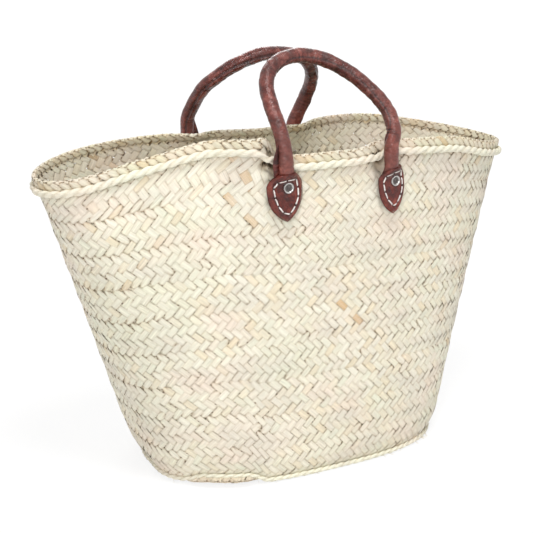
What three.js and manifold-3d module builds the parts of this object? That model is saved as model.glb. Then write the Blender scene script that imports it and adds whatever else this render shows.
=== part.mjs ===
import * as THREE from 'three';
import { mergeVertices } from 'three/addons/utils/BufferGeometryUtils.js';
import Module from 'manifold-3d';

// Straw beach bag: plaited palm-leaf rounds sewn into an oval basket, roped rim and base,
// and two rolled leather handles held by stitched and riveted tabs.
// Millimetres, +Z up, +X along the bag. The origin is on the floor under the middle of the base.

// Driving dimensions of the basket
const wallHeight = 340;
const rimHalfLength = 270;
const rimHalfDepth = 113;
const rimRoundness = 2.05;
const mouthShift = -2.4;
const baseHalfLength = 166;
const baseHalfDepth = 114;
const baseRoundness = 2.95;
const footTuck = { depth: 8.5, share: 0.1 };
const footRows = [0, 0.2, 0.5, 1];
const rimEndDrop = 26;
const rimSideTilt = 8;
const baseEdgeHeight = 1;
const baseEndRise = 5;
const roundCount = 9;
const plaitThickness = 3.2;
const plaitSwell = 0.8;
const gap = 0.3;
const ringStations = 52;
const legStations = { extra: 1.7, width: 20, beside: 2 };

// Waves of the soft rim, in the lengths that the mouth shows at rest
const frontBow = { depth: 27, from: -290, full: -187, hold: -128, to: -84 };
const frontLift = { height: 20.5, from: -260, full: -90, hold: -76, to: -56 };
const sideLift = { height: 7, from: 20, full: 80, hold: 150, to: 230 };
const backBow = { depth: 41, drop: 12, from: -280, full: 43, hold: 1, to: 184 };
const legDent = { depth: 8, width: 17 };

// Rim, base and cords
const braidHeight = 9.5;
const braidThickness = 6.4;
const rimCord = { halfDepth: 2.9, halfHeight: 4.2, drop: 4.5, sides: 6 };
const baseCord = { halfDepth: 2.8, halfHeight: 2.8, rise: 5.5, sides: 5 };
const braidTaper = { foot: 0.6, top: 0.45 };
const matThickness = 3.8;
const matRoundWidth = 37.3;
const matFlatShare = 0.72;

// Handles
const handleRadius = 7.5;
const sleeveThickness = 1.8;
const coreRadius = 4.8;
const legOffset = 10.3;
const legSplitRise = 4;
const legRiser = 9;
const frontLegX = 61;
const backLegX = 67;
const sleeveSteps = 26;

// Tabs, rivets and stitching. The tabs are cut and sewn by hand, so each has its own place, width and turn
// in degrees, and the handle's leg stands a little beside its middle.
const tabs = {
  front_left: { x: -61.5, topDrop: 8.5, halfWidth: 19.3, turn: 5, legAcross: 2 },
  front_right: { x: 63, topDrop: 18, halfWidth: 16.8, turn: 5, legAcross: -2 },
  back_left: { x: -67, topDrop: 13.5, halfWidth: 19, turn: -3, legAcross: 0 },
  back_right: { x: 67, topDrop: 13.5, halfWidth: 19, turn: -3, legAcross: 0 },
};
const tabLength = 50.5;
const tabShoulder = { height: 13, width: 6.5 };
const tabStraight = 17;
const tabLeather = 2.2;
const tabPlateau = 3.4;
const tabBevel = 7;
const tabTip = { thins: 12, flat: 1 };
const tabMouth = { swell: 7.4, width: 13, depth: 10 };
const tongueThickness = 2.4;
const tongueHalfWidth = 9.2;
const tongueRows = [-legSplitRise, -2, 0, 3, 8, 18, 32];
const tongueFlattens = { from: -legSplitRise - 2, to: 8 };
const rivetDrop = 15.5;
const rivetAcross = 3.2;
const rivetHoleRadius = 2.6;
const rivetShankRadius = 2.2;
const rivetHeadRadius = 5.6;
const rivetHead = { rim: 1.7, rimShare: 0.8, dish: 0.9, dishShare: 0.45, middle: 0.7 };
const rivetCap = { share: 0.85, thickness: 1.6, shoulder: 1.4, shoulderShare: 0.7 };
const capClearance = 1.8;
const stitchShare = 0.66;
const stitchInset = { end: 8, tip: 6 };
const threadRadius = 0.55;

const wasm = await Module();
wasm.setup();

const TAU = Math.PI * 2;
const clamp01 = (x) => Math.min(1, Math.max(0, x));

function ease(from, to, x) {
  const s = clamp01((x - from) / (to - from));
  return s * s * (3 - 2 * s);
}

// A swell that rises between from and full, and falls again between hold and to
function swell(wave, x) {
  return ease(wave.from, wave.full, x) * (1 - ease(wave.hold, wave.to, x));
}

function superellipse(halfX, halfY, roundness, angle) {
  const c = Math.cos(angle);
  const s = Math.sin(angle);
  const x = halfX * Math.sign(c) * Math.abs(c) ** (2 / roundness);
  const y = halfY * Math.sign(s) * Math.abs(s) ** (2 / roundness);
  return new THREE.Vector2(x, y);
}

function superellipseNormal(point, halfX, halfY, roundness) {
  const slope = (along, half) => (Math.sign(along) * Math.abs(along / half) ** (roundness - 1)) / half;
  return new THREE.Vector2(slope(point.x, halfX), slope(point.y, halfY)).normalize();
}

// Wall surface

// Middle of the wall's thickness: angle goes round the bag, share goes from the base (0) to the rim (1).
// The handle legs press a dent into the top round, which a face under leather is measured without.
function wallMiddle(angle, share, dented = true) {
  const low = superellipse(baseHalfLength, baseHalfDepth, baseRoundness, angle);
  const high = superellipse(rimHalfLength, rimHalfDepth, rimRoundness, angle);
  const along = high.x / rimHalfLength;
  const lowZ = baseEdgeHeight + baseEndRise * (low.x / baseHalfLength) ** 2;
  const highZ = wallHeight - rimEndDrop * along ** 2 - rimSideTilt * along;
  const tuck = footTuck.depth * Math.max(0, 1 - share / footTuck.share) ** 2;
  low.addScaledVector(superellipseNormal(low, baseHalfLength, baseHalfDepth, baseRoundness), -tuck);
  const point = new THREE.Vector3(
    THREE.MathUtils.lerp(low.x, high.x + mouthShift, share),
    THREE.MathUtils.lerp(low.y, high.y, share),
    THREE.MathUtils.lerp(lowZ, highZ, share),
  );
  const front = Math.sin(angle) < 0;
  const inward = front ? 1 : -1;
  const legX = front ? frontLegX : backLegX;
  const bow = front ? frontBow : backBow;
  point.y += inward * bow.depth * swell(bow, high.x) * share ** 3;
  if (front) {
    point.z += frontLift.height * swell(frontLift, high.x) * share ** 5;
    point.z += sideLift.height * swell(sideLift, high.x) * share ** 5;
  } else {
    point.z -= backBow.drop * swell(backBow, high.x) * share ** 3;
  }
  if (dented) {
    const dent = Math.exp(-(((Math.abs(high.x) - legX) / legDent.width) ** 2));
    const topShare = Math.max(0, share * roundCount - (roundCount - 1));
    point.y += inward * legDent.depth * dent * topShare;
  }
  return point;
}

// Frame of the wall at a place: its point, outward normal and the direction up the wall
function wallFrame(angle, share) {
  const step = 1e-3;
  const origin = wallMiddle(angle, share);
  const up = wallMiddle(angle, share + step).sub(wallMiddle(angle, share - step)).normalize();
  const round = wallMiddle(angle + step, share).sub(wallMiddle(angle - step, share)).normalize();
  const normal = round.clone().cross(up).normalize();
  return { origin, up, normal, round };
}

function onWall(angle, share, outward, upward = 0) {
  const { origin, up, normal } = wallFrame(angle, share);
  return origin.addScaledVector(normal, outward).addScaledVector(up, upward);
}

// Angles round the bag at about equal steps along the rim, closer together beside the handle legs
function stationAngles(count) {
  const fine = 2880;
  const total = [0];
  for (let i = 0; i < fine; i += 1) {
    const here = superellipse(rimHalfLength, rimHalfDepth, rimRoundness, (TAU * i) / fine);
    const next = superellipse(rimHalfLength, rimHalfDepth, rimRoundness, (TAU * (i + 1)) / fine);
    const legX = here.y < 0 ? frontLegX : backLegX;
    const fromLeg = (Math.abs(here.x) - legX - legStations.beside) / legStations.width;
    total.push(total[i] + here.distanceTo(next) * (1 + legStations.extra * Math.exp(-(fromLeg ** 2))));
  }
  const angles = [];
  let at = 0;
  for (let k = 0; k < count; k += 1) {
    const wanted = (total[fine] * (k + 0.5)) / count;
    while (total[at + 1] < wanted) at += 1;
    angles.push((TAU * (at + (wanted - total[at]) / (total[at + 1] - total[at]))) / fine);
  }
  return angles;
}

const stations = stationAngles(ringStations);

// The angle and share of the wall's place with a given X and height, on the front or the back
function findOnWall(x, height, front) {
  let angle = front ? -Math.PI / 2 : Math.PI / 2;
  let share = height / wallHeight;
  for (let i = 0; i < 12; i += 1) {
    const point = wallMiddle(angle, share);
    angle += ((x - point.x) / rimHalfLength) * (front ? 1 : -1);
    share += (height - point.z) / wallHeight;
  }
  return { angle, share };
}

// Mesh making

function geometryFrom(points, faces) {
  const geometry = new THREE.BufferGeometry();
  const flat = points.flatMap((p) => [p.x, p.y, p.z]);
  geometry.setAttribute('position', new THREE.Float32BufferAttribute(flat, 3));
  geometry.setIndex(faces);
  return geometry;
}

function solidOf(geometry) {
  const plain = geometry.clone();
  plain.deleteAttribute('normal');
  plain.deleteAttribute('uv');
  const merged = mergeVertices(plain, 1e-4);
  return new wasm.Manifold(
    new wasm.Mesh({
      numProp: 3,
      vertProperties: new Float32Array(merged.attributes.position.array),
      triVerts: new Uint32Array(merged.index.array),
    }),
  );
}

function geometryOf(solid) {
  const mesh = solid.getMesh();
  const geometry = new THREE.BufferGeometry();
  geometry.setAttribute('position', new THREE.BufferAttribute(mesh.vertProperties, 3));
  geometry.setIndex(new THREE.BufferAttribute(mesh.triVerts, 1));
  return geometry;
}

function outwardFacing(geometry) {
  const position = geometry.attributes.position;
  const index = geometry.index.array;
  const corner = [0, 1, 2].map(() => new THREE.Vector3());
  let volume = 0;
  for (let i = 0; i < index.length; i += 3) {
    corner.forEach((v, k) => v.fromBufferAttribute(position, index[i + k]));
    volume += corner[0].dot(corner[1].clone().cross(corner[2]));
  }
  if (volume > 0) return geometry;
  const turned = Array.from(index);
  for (let i = 0; i < turned.length; i += 3) [turned[i], turned[i + 1]] = [turned[i + 1], turned[i]];
  geometry.setIndex(turned);
  return geometry;
}

// Joins a list of like loops of points one after another: round to the first again, or with closed ends
function loft(loops, round) {
  const size = loops[0].length;
  const faces = [];
  const bands = round ? loops.length : loops.length - 1;
  for (let i = 0; i < bands; i += 1) {
    const a = i * size;
    const b = ((i + 1) % loops.length) * size;
    for (let k = 0; k < size; k += 1) {
      const n = (k + 1) % size;
      faces.push(a + k, b + k, b + n, a + k, b + n, a + n);
    }
  }
  const points = loops.flat();
  if (!round) {
    for (const [at, flip] of [[0, false], [loops.length - 1, true]]) {
      const centre = new THREE.Vector3();
      loops[at].forEach((p) => centre.addScaledVector(p, 1 / size));
      points.push(centre);
      for (let k = 0; k < size; k += 1) {
        const edge = [at * size + k, at * size + ((k + 1) % size)];
        if (flip) edge.reverse();
        faces.push(points.length - 1, ...edge);
      }
    }
  }
  return outwardFacing(geometryFrom(points, faces));
}

function circle(sides, radius, makePoint) {
  return Array.from({ length: sides }, (_, k) => {
    const turn = (TAU * (k + 0.5)) / sides;
    return makePoint(radius * Math.cos(turn), radius * Math.sin(turn));
  });
}

function drill(geometry, start, direction, radius, depth) {
  const bit = new THREE.CylinderGeometry(radius, radius, depth, 12);
  bit.translate(0, depth / 2, 0);
  bit.applyQuaternion(new THREE.Quaternion().setFromUnitVectors(new THREE.Vector3(0, 1, 0), direction));
  bit.translate(start.x, start.y, start.z);
  return geometryOf(solidOf(geometry).subtract(solidOf(bit)));
}

// Materials

const finishes = {
  palm_plait: { color: '#d9cdab', roughness: 0.72, metalness: 0 },
  palm_braid: { color: '#dccfa6', roughness: 0.72, metalness: 0 },
  palm_cord: { color: '#d6caa2', roughness: 0.78, metalness: 0 },
  handle_leather: { color: '#6e3a31', roughness: 0.38, metalness: 0 },
  rope_core: { color: '#b9a987', roughness: 0.9, metalness: 0 },
  nickel: { color: '#b9b7b4', roughness: 0.25, metalness: 1 },
  waxed_thread: { color: '#ded6d0', roughness: 0.6, metalness: 0 },
};

const bag = new THREE.Group();

function addPiece(name, geometry, finish) {
  const material = new THREE.MeshStandardMaterial(finishes[finish]);
  material.name = finish;
  const shaded = geometry.clone();
  shaded.computeVertexNormals();
  const mesh = new THREE.Mesh(shaded, material);
  mesh.name = name;
  bag.add(mesh);
}

// Base mat

function ovalShape(inset) {
  const points = stations.map((angle) =>
    superellipse(baseHalfLength - inset, baseHalfDepth - inset, baseRoundness, angle),
  );
  return new THREE.Shape(points);
}

function addBaseMat() {
  const innerInset = 2 * matRoundWidth;
  const flatPlait = { depth: matThickness, bevelEnabled: false, curveSegments: 1 };
  const centre = new THREE.ExtrudeGeometry(ovalShape(innerInset + gap), flatPlait);
  addPiece('base_center', centre, 'palm_plait');

  const middle = ovalShape(matRoundWidth + gap);
  middle.holes.push(ovalShape(innerInset));
  addPiece('base_round_1', new THREE.ExtrudeGeometry(middle, flatPlait), 'palm_plait');

  // The outer round turns up a little where it meets the wall
  const edgeClearance = plaitThickness / 2 + gap;
  const loops = stations.map((angle) => {
    const inner = superellipse(
      baseHalfLength - matRoundWidth,
      baseHalfDepth - matRoundWidth,
      baseRoundness,
      angle,
    );
    const outer = onWall(angle, 0, -edgeClearance);
    const outerTop = onWall(angle, matThickness / wallHeight, -edgeClearance);
    const flat = inner.clone().lerp(new THREE.Vector2(outer.x, outer.y), matFlatShare);
    return [
      new THREE.Vector3(inner.x, inner.y, 0),
      new THREE.Vector3(flat.x, flat.y, 0),
      outer,
      outerTop,
      new THREE.Vector3(flat.x, flat.y, matThickness),
      new THREE.Vector3(inner.x, inner.y, matThickness),
    ];
  });
  addPiece('base_round_2', loft(loops, true), 'palm_plait');
}

// Rounds of plait that make the wall

// The lowest round has more rows than the others, because the foot turns in under it
function roundLoops(index) {
  const half = plaitThickness / 2;
  const edge = gap / 2 / wallHeight;
  const lowest = index === 0;
  const low = index / roundCount + (lowest ? 0 : edge);
  const high = (index + 1) / roundCount - edge;
  const outerRows = lowest ? footRows : [0, 0.5, 1];
  const innerRows = lowest ? footRows : [0, 1];
  const shareAt = (row) => THREE.MathUtils.lerp(low, high, row);
  return stations.map((angle) => [
    ...outerRows.map((row) => onWall(angle, shareAt(row), half + plaitSwell * 4 * row * (1 - row))),
    ...innerRows.toReversed().map((row) => onWall(angle, shareAt(row), -half)),
  ]);
}

// Rim braid, rim cord and base cord

function braidLoops() {
  const half = braidThickness / 2;
  const outline = [
    [half * braidTaper.foot, 2 * gap],
    [-half * braidTaper.foot, 2 * gap],
    [-half, braidHeight / 2],
    [-half * braidTaper.top, braidHeight],
    [half * braidTaper.top, braidHeight],
    [half, braidHeight / 2],
  ];
  return stations.map((angle) => outline.map(([outward, upward]) => onWall(angle, 1, outward, upward)));
}

function cordLoops(share, upward, cord) {
  const clearance = plaitThickness / 2 + plaitSwell + gap + cord.halfDepth;
  return stations.map((angle) =>
    circle(cord.sides, 1, (across, along) =>
      onWall(angle, share, clearance + cord.halfDepth * across, upward + cord.halfHeight * along),
    ),
  );
}

// Handles: a rolled leather sleeve over a rope core, one route for each

const handleRoutes = {
  front: [
    [-61.5, -118.5, 355],
    [-62.5, -111, 375],
    [-64, -97, 396],
    [-61, -81, 417],
    [-48, -70, 431],
    [-22, -63, 438],
    [4, -65, 435],
    [29, -76, 423],
    [52, -92, 402],
    [65, -106, 381],
    [66, -117, 362],
    [62.5, -120, 352],
  ],
  back: [
    [-68, 87, 354],
    [-65.5, 76, 372],
    [-62, 63, 388],
    [-52, 49, 402],
    [-36, 37, 415],
    [-8, 26, 426],
    [20, 27, 424],
    [49, 37, 415],
    [67, 53, 399],
    [75.5, 69, 381],
    [76, 83, 362],
  ],
};

// Where a leg leaves its tab: the sleeve's lowest point, and one a little further up the same line
function legStart(leg) {
  const { onLeg } = tabFrame(leg);
  const foot = -legSplitRise - gap;
  return [onLeg(0, foot, legOffset), onLeg(0, foot - legRiser, legOffset)];
}

function handleCurve(side) {
  const route = handleRoutes[side].map(([x, y, z]) => new THREE.Vector3(x, y, z));
  const points = [...legStart(`${side}_left`), ...route, ...legStart(`${side}_right`).reverse()];
  return new THREE.CatmullRomCurve3(points, false, 'centripetal');
}

function ringShape(outer, inner, sides) {
  const shape = new THREE.Shape(circle(sides, outer, (x, y) => new THREE.Vector2(x, y)));
  if (inner > 0) shape.holes.push(new THREE.Path(circle(sides, inner, (x, y) => new THREE.Vector2(x, y))));
  return shape;
}

// A middle stretch of a handle's curve, for the core that stops short of the leather's ends
class Stretch extends THREE.Curve {
  constructor(curve, from, to) {
    super();
    this.curve = curve;
    this.from = from;
    this.to = to;
  }

  getPoint(share, target = new THREE.Vector3()) {
    return this.curve.getPointAt(this.from + (this.to - this.from) * share, target);
  }
}

function addHandle(side) {
  const curve = handleCurve(side);
  const sleeve = new THREE.ExtrudeGeometry(ringShape(handleRadius, handleRadius - sleeveThickness, 8), {
    steps: sleeveSteps,
    extrudePath: curve,
    bevelEnabled: false,
  });
  addPiece(`${side}_handle_sleeve`, sleeve, 'handle_leather');
  const core = new THREE.ExtrudeGeometry(ringShape(coreRadius, 0, 6), {
    steps: sleeveSteps - 2,
    extrudePath: new Stretch(curve, 1 / sleeveSteps, 1 - 1 / sleeveSteps),
    bevelEnabled: false,
  });
  addPiece(`${side}_handle_core`, core, 'rope_core');
}

// Tabs: every tab has a flat frame of its own on the wall, with x across, y down the wall and z outward

function tabFrame(leg) {
  const { x, topDrop, turn, legAcross } = tabs[leg];
  const front = leg.startsWith('front');
  const bare = (height) => {
    const place = findOnWall(x, height, front);
    return wallMiddle(place.angle, place.share, false);
  };
  const topHeight = wallMiddle(findOnWall(x, wallHeight, front).angle, 1).z - topDrop;
  const top = bare(topHeight);
  const down = bare(topHeight - tabLength).sub(top).normalize();
  const middle = findOnWall(x, topHeight - tabLength / 2, front);
  const level = wallFrame(middle.angle, middle.share).round;
  const across = level.sub(down.clone().multiplyScalar(level.dot(down))).normalize();
  const outward = across.clone().cross(down).negate().normalize();
  across.applyAxisAngle(outward, THREE.MathUtils.degToRad(turn));
  down.applyAxisAngle(outward, THREE.MathUtils.degToRad(turn));

  // Heights are measured from the wall's bare middle surface, which the leather follows below its top edge
  const flatAt = (u, v) => top.clone().addScaledVector(across, u).addScaledVector(down, v);
  const rise = (u, v) => {
    const flat = flatAt(u, Math.max(0, v));
    const place = findOnWall(flat.x, flat.z, front);
    return wallMiddle(place.angle, place.share, false).sub(flat).dot(outward);
  };
  const at = (u, v, w) => flatAt(u, v).addScaledVector(outward, w + rise(u, v));

  // The handle's leg stays straight across, whatever the wall does beside it
  const onLeg = (u, v, w) => flatAt(legAcross + u, v).addScaledVector(outward, w + rise(legAcross, v));

  // A place on the wall itself, opposite a point of the tab
  const onFace = (u, v, w) => {
    const opposite = at(u, v, 0);
    const place = findOnWall(opposite.x, opposite.z, front);
    return onWall(place.angle, place.share, w);
  };
  return { at, onLeg, onFace, outward };
}

// Half the shield's width, v below its top edge
function shieldHalfWidth(leg, v) {
  const { halfWidth } = tabs[leg];
  if (v < tabShoulder.height) {
    return halfWidth - tabShoulder.width * (1 - Math.sin((Math.PI / 2) * (v / tabShoulder.height)));
  }
  const share = Math.max(0, (v - tabStraight) / (tabLength - tabStraight));
  return Math.max(0.8, halfWidth * (1 - share ** 2.3));
}

const wallFace = plaitThickness / 2 + plaitSwell + 2 * gap;

// Height of the tab's inner face above the wall: a plateau with bevelled margins, open over the handle's end
function tabInnerHeight(leg, u, v) {
  const margin = shieldHalfWidth(leg, v) - Math.abs(u);
  const atTip = ease(tabLength - tabTip.thins, tabLength - tabTip.flat, v);
  const plateau = tabPlateau * ease(0, tabBevel, margin) * (1 - atTip);
  const besideLeg = (u - tabs[leg].legAcross) / tabMouth.width;
  const mouth = tabMouth.swell * Math.exp(-(besideLeg ** 4)) * (1 - ease(0, tabMouth.depth, v));
  return wallFace + plateau + mouth;
}

function tabOuterHeight(leg, u, v) {
  return tabInnerHeight(leg, u, v) + tabLeather;
}

const tabRows = [0, 3, 6, 9, 15, 23, 31, 39, 45, 48.5, tabLength];
const tabColumns = [-1, -stitchShare, -stitchShare / 2, 0, stitchShare / 2, stitchShare, 1];

// The tab's outline row by row down the shield, out over its face and back along its inside
function tabLoops(leg, at) {
  return tabRows.map((v) => {
    const spread = tabColumns.map((share) => share * shieldHalfWidth(leg, v));
    const outer = spread.map((u) => at(u, v, tabOuterHeight(leg, u, v)));
    const inner = spread.map((u) => at(u, v, tabInnerHeight(leg, u, v)));
    return [...outer, ...inner.reverse()];
  });
}

// The sleeve's flattened end, between the tab and the wall
function tongueLoops(onLeg) {
  const wallSide = wallFace - gap;
  return tongueRows.map((v) => {
    const flat = ease(tongueFlattens.from, tongueFlattens.to, v);
    const halfDepth = THREE.MathUtils.lerp(handleRadius - gap, tongueThickness / 2, flat);
    const halfWidth = THREE.MathUtils.lerp(handleRadius, tongueHalfWidth, flat);
    return circle(8, 1, (x, y) => onLeg(halfWidth * x, v, wallSide + halfDepth * (1 + y)));
  });
}

// Rivets: profiles as radius and height above the wall, turned about the rivet's own axis

function rivetProfile(headFace, shankEnd) {
  return [
    [0, shankEnd],
    [rivetShankRadius, shankEnd],
    [rivetShankRadius, headFace],
    [rivetHeadRadius, headFace],
    [rivetHeadRadius * rivetHead.rimShare, headFace + rivetHead.rim],
    [rivetHeadRadius * rivetHead.dishShare, headFace + rivetHead.dish],
    [0, headFace + rivetHead.middle],
  ];
}

function capProfile(face) {
  const radius = rivetHeadRadius * rivetCap.share;
  return [
    [0, face - rivetCap.thickness],
    [radius * rivetCap.shoulderShare, face - rivetCap.shoulder],
    [radius, face],
    [0, face],
  ];
}

function facing(profile, seat, outward) {
  const geometry = new THREE.LatheGeometry(profile.map(([r, h]) => new THREE.Vector2(r, h)), 10);
  geometry.applyQuaternion(new THREE.Quaternion().setFromUnitVectors(new THREE.Vector3(0, 1, 0), outward));
  geometry.translate(seat.x, seat.y, seat.z);
  return geometry;
}

// One thread round the shield, just inside its margin
function stitchLoops(leg, at) {
  const sideRows = tabRows.filter((v) => v > stitchInset.end && v < tabLength - stitchInset.end);
  const topRow = sideRows[0];
  const topShares = tabColumns.slice(2, -2);
  const outline = [
    ...topShares.map((share) => [share * shieldHalfWidth(leg, topRow), topRow]),
    ...sideRows.map((v) => [stitchShare * shieldHalfWidth(leg, v), v]),
    [0, tabLength - stitchInset.tip],
    ...sideRows.reverse().map((v) => [-stitchShare * shieldHalfWidth(leg, v), v]),
  ];
  return outline.map(([u, v], i) => {
    const before = outline[(i + outline.length - 1) % outline.length];
    const after = outline[(i + 1) % outline.length];
    const side = new THREE.Vector2(after[1] - before[1], before[0] - after[0]).normalize();
    const height = tabOuterHeight(leg, u, v) + 2 * gap + threadRadius;
    return circle(4, threadRadius, (x, y) => at(u + side.x * x, v + side.y * x, height + y));
  });
}

const rivetHoles = [];

function addLeg(leg) {
  const { at, onLeg, onFace, outward } = tabFrame(leg);
  const hole = { start: at(rivetAcross, rivetDrop, -20), direction: outward };
  const bore = (geometry) => drill(geometry, hole.start, hole.direction, rivetHoleRadius, 40);
  rivetHoles.push(hole);
  addPiece(`${leg}_tab`, bore(loft(tabLoops(leg, at), false)), 'handle_leather');
  addPiece(`${leg}_handle_end`, bore(loft(tongueLoops(onLeg), false)), 'handle_leather');

  const seat = at(rivetAcross, rivetDrop, 0);
  const innerFace = onFace(rivetAcross, rivetDrop, -plaitThickness / 2).sub(seat).dot(outward);
  const capFace = innerFace - capClearance;
  const headFace = tabOuterHeight(leg, rivetAcross, rivetDrop) + gap;
  addPiece(`${leg}_rivet`, facing(rivetProfile(headFace, capFace + gap), seat, outward), 'nickel');
  addPiece(`${leg}_rivet_cap`, facing(capProfile(capFace), seat, outward), 'nickel');
  addPiece(`${leg}_stitching`, loft(stitchLoops(leg, at), true), 'waxed_thread');
}

// Assembly

addBaseMat();
for (const side of ['front', 'back']) {
  addHandle(side);
}
for (const leg of Object.keys(tabs)) {
  addLeg(leg);
}
for (let index = 0; index < roundCount; index += 1) {
  let geometry = loft(roundLoops(index), true);
  if (index >= roundCount - 2) {
    for (const hole of rivetHoles) {
      geometry = drill(geometry, hole.start, hole.direction, rivetHoleRadius, 40);
    }
  }
  addPiece(`wall_round_${index + 1}`, geometry, 'palm_plait');
}
addPiece('rim_braid', loft(braidLoops(), true), 'palm_braid');
addPiece('rim_cord', loft(cordLoops(1, -rimCord.drop, rimCord), true), 'palm_cord');
addPiece('base_cord', loft(cordLoops(0, baseCord.rise, baseCord), true), 'palm_cord');

export default bag;
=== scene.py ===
"""Looks of a plaited palm-leaf beach bag: woven rounds, twisted cords, rolled leather handles and a studio.

All sizes are in millimetres until a mesh is finished, when it becomes metres in the model's own frame.
"""

import logging
import math
from dataclasses import dataclass
from enum import Enum

import bmesh
import bpy
import numpy as np
from mathutils import Matrix, Vector


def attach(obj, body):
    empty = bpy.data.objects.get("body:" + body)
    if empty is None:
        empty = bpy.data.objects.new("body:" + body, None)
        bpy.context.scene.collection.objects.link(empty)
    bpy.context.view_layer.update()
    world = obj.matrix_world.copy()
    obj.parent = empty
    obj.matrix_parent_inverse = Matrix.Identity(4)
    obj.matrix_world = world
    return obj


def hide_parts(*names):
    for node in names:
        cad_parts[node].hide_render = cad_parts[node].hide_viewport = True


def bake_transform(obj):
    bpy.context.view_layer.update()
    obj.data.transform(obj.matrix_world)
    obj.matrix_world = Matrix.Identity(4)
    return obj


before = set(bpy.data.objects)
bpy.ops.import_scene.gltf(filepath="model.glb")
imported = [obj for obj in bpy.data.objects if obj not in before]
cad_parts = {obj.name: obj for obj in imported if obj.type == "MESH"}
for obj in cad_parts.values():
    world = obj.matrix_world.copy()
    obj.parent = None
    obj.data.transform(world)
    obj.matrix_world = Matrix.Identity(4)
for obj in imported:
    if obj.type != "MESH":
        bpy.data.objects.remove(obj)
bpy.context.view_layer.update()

log = logging.getLogger("beach_bag")

TAU = 2 * math.pi
MM = 0.001


class Side(Enum):
    """The bag's two long sides."""

    FRONT = "front"
    BACK = "back"


class Leg(Enum):
    """The four places where a handle meets the wall."""

    FRONT_LEFT = "front_left"
    FRONT_RIGHT = "front_right"
    BACK_LEFT = "back_left"
    BACK_RIGHT = "back_right"

    @property
    def front(self) -> bool:
        """Whether the leg stands on the front of the bag."""
        return self in (Leg.FRONT_LEFT, Leg.FRONT_RIGHT)


# Small sums


def ease(start: float, full: float, x: np.ndarray) -> np.ndarray:
    """Rises smoothly from 0 at start to 1 at full."""
    s = np.clip((x - start) / (full - start), 0, 1)
    return s * s * (3 - 2 * s)


def unit(vectors: np.ndarray) -> np.ndarray:
    """Vectors of length 1 with the same directions."""
    return vectors / np.maximum(np.linalg.norm(vectors, axis=-1, keepdims=True), 1e-12)


def ripple(seed: int, size: int, x: np.ndarray, octaves: tuple[float, ...]) -> np.ndarray:
    """A smooth random wave.

    Args:
        seed: Number that fixes the wave.
        size: How many sine waves are summed for each octave.
        x: Places where the wave is wanted.
        octaves: Wave counts per unit of x.

    Returns:
        Values of about -1 to 1.
    """
    rng = np.random.default_rng(seed)
    total = np.zeros_like(np.asarray(x, float))
    for octave, count in enumerate(octaves):
        for _ in range(size):
            pace = count * rng.uniform(0.7, 1.4)
            total = total + np.sin(TAU * (pace * x + rng.uniform())) / (size * (1 + 0.6 * octave))
    return total


# The basket's shape


@dataclass(frozen=True)
class Wave:
    """A swell of the soft rim: it rises between start and full, and falls between hold and end."""

    size: float
    start: float
    full: float
    hold: float
    end: float
    drop: float = 0.0

    def at(self, x: np.ndarray) -> np.ndarray:
        """Share of the swell's full size at a place along the bag."""
        return ease(self.start, self.full, x) * (1 - ease(self.hold, self.end, x))

    def swell(self, x: np.ndarray) -> np.ndarray:
        """The swell's size in millimetres at a place along the bag."""
        return self.size * self.at(x)


@dataclass(frozen=True)
class Pocket:
    """A small hollow that a handle's leg pulls into the front, just beside itself."""

    x: float
    width: float
    depth: float
    share: float
    height: float

    def at(self, x: np.ndarray, share: np.ndarray) -> np.ndarray:
        """Share of the hollow's full depth at a place of the wall."""
        return np.exp(-(((x - self.x) / self.width) ** 2) - ((share - self.share) / self.height) ** 2)


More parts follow.
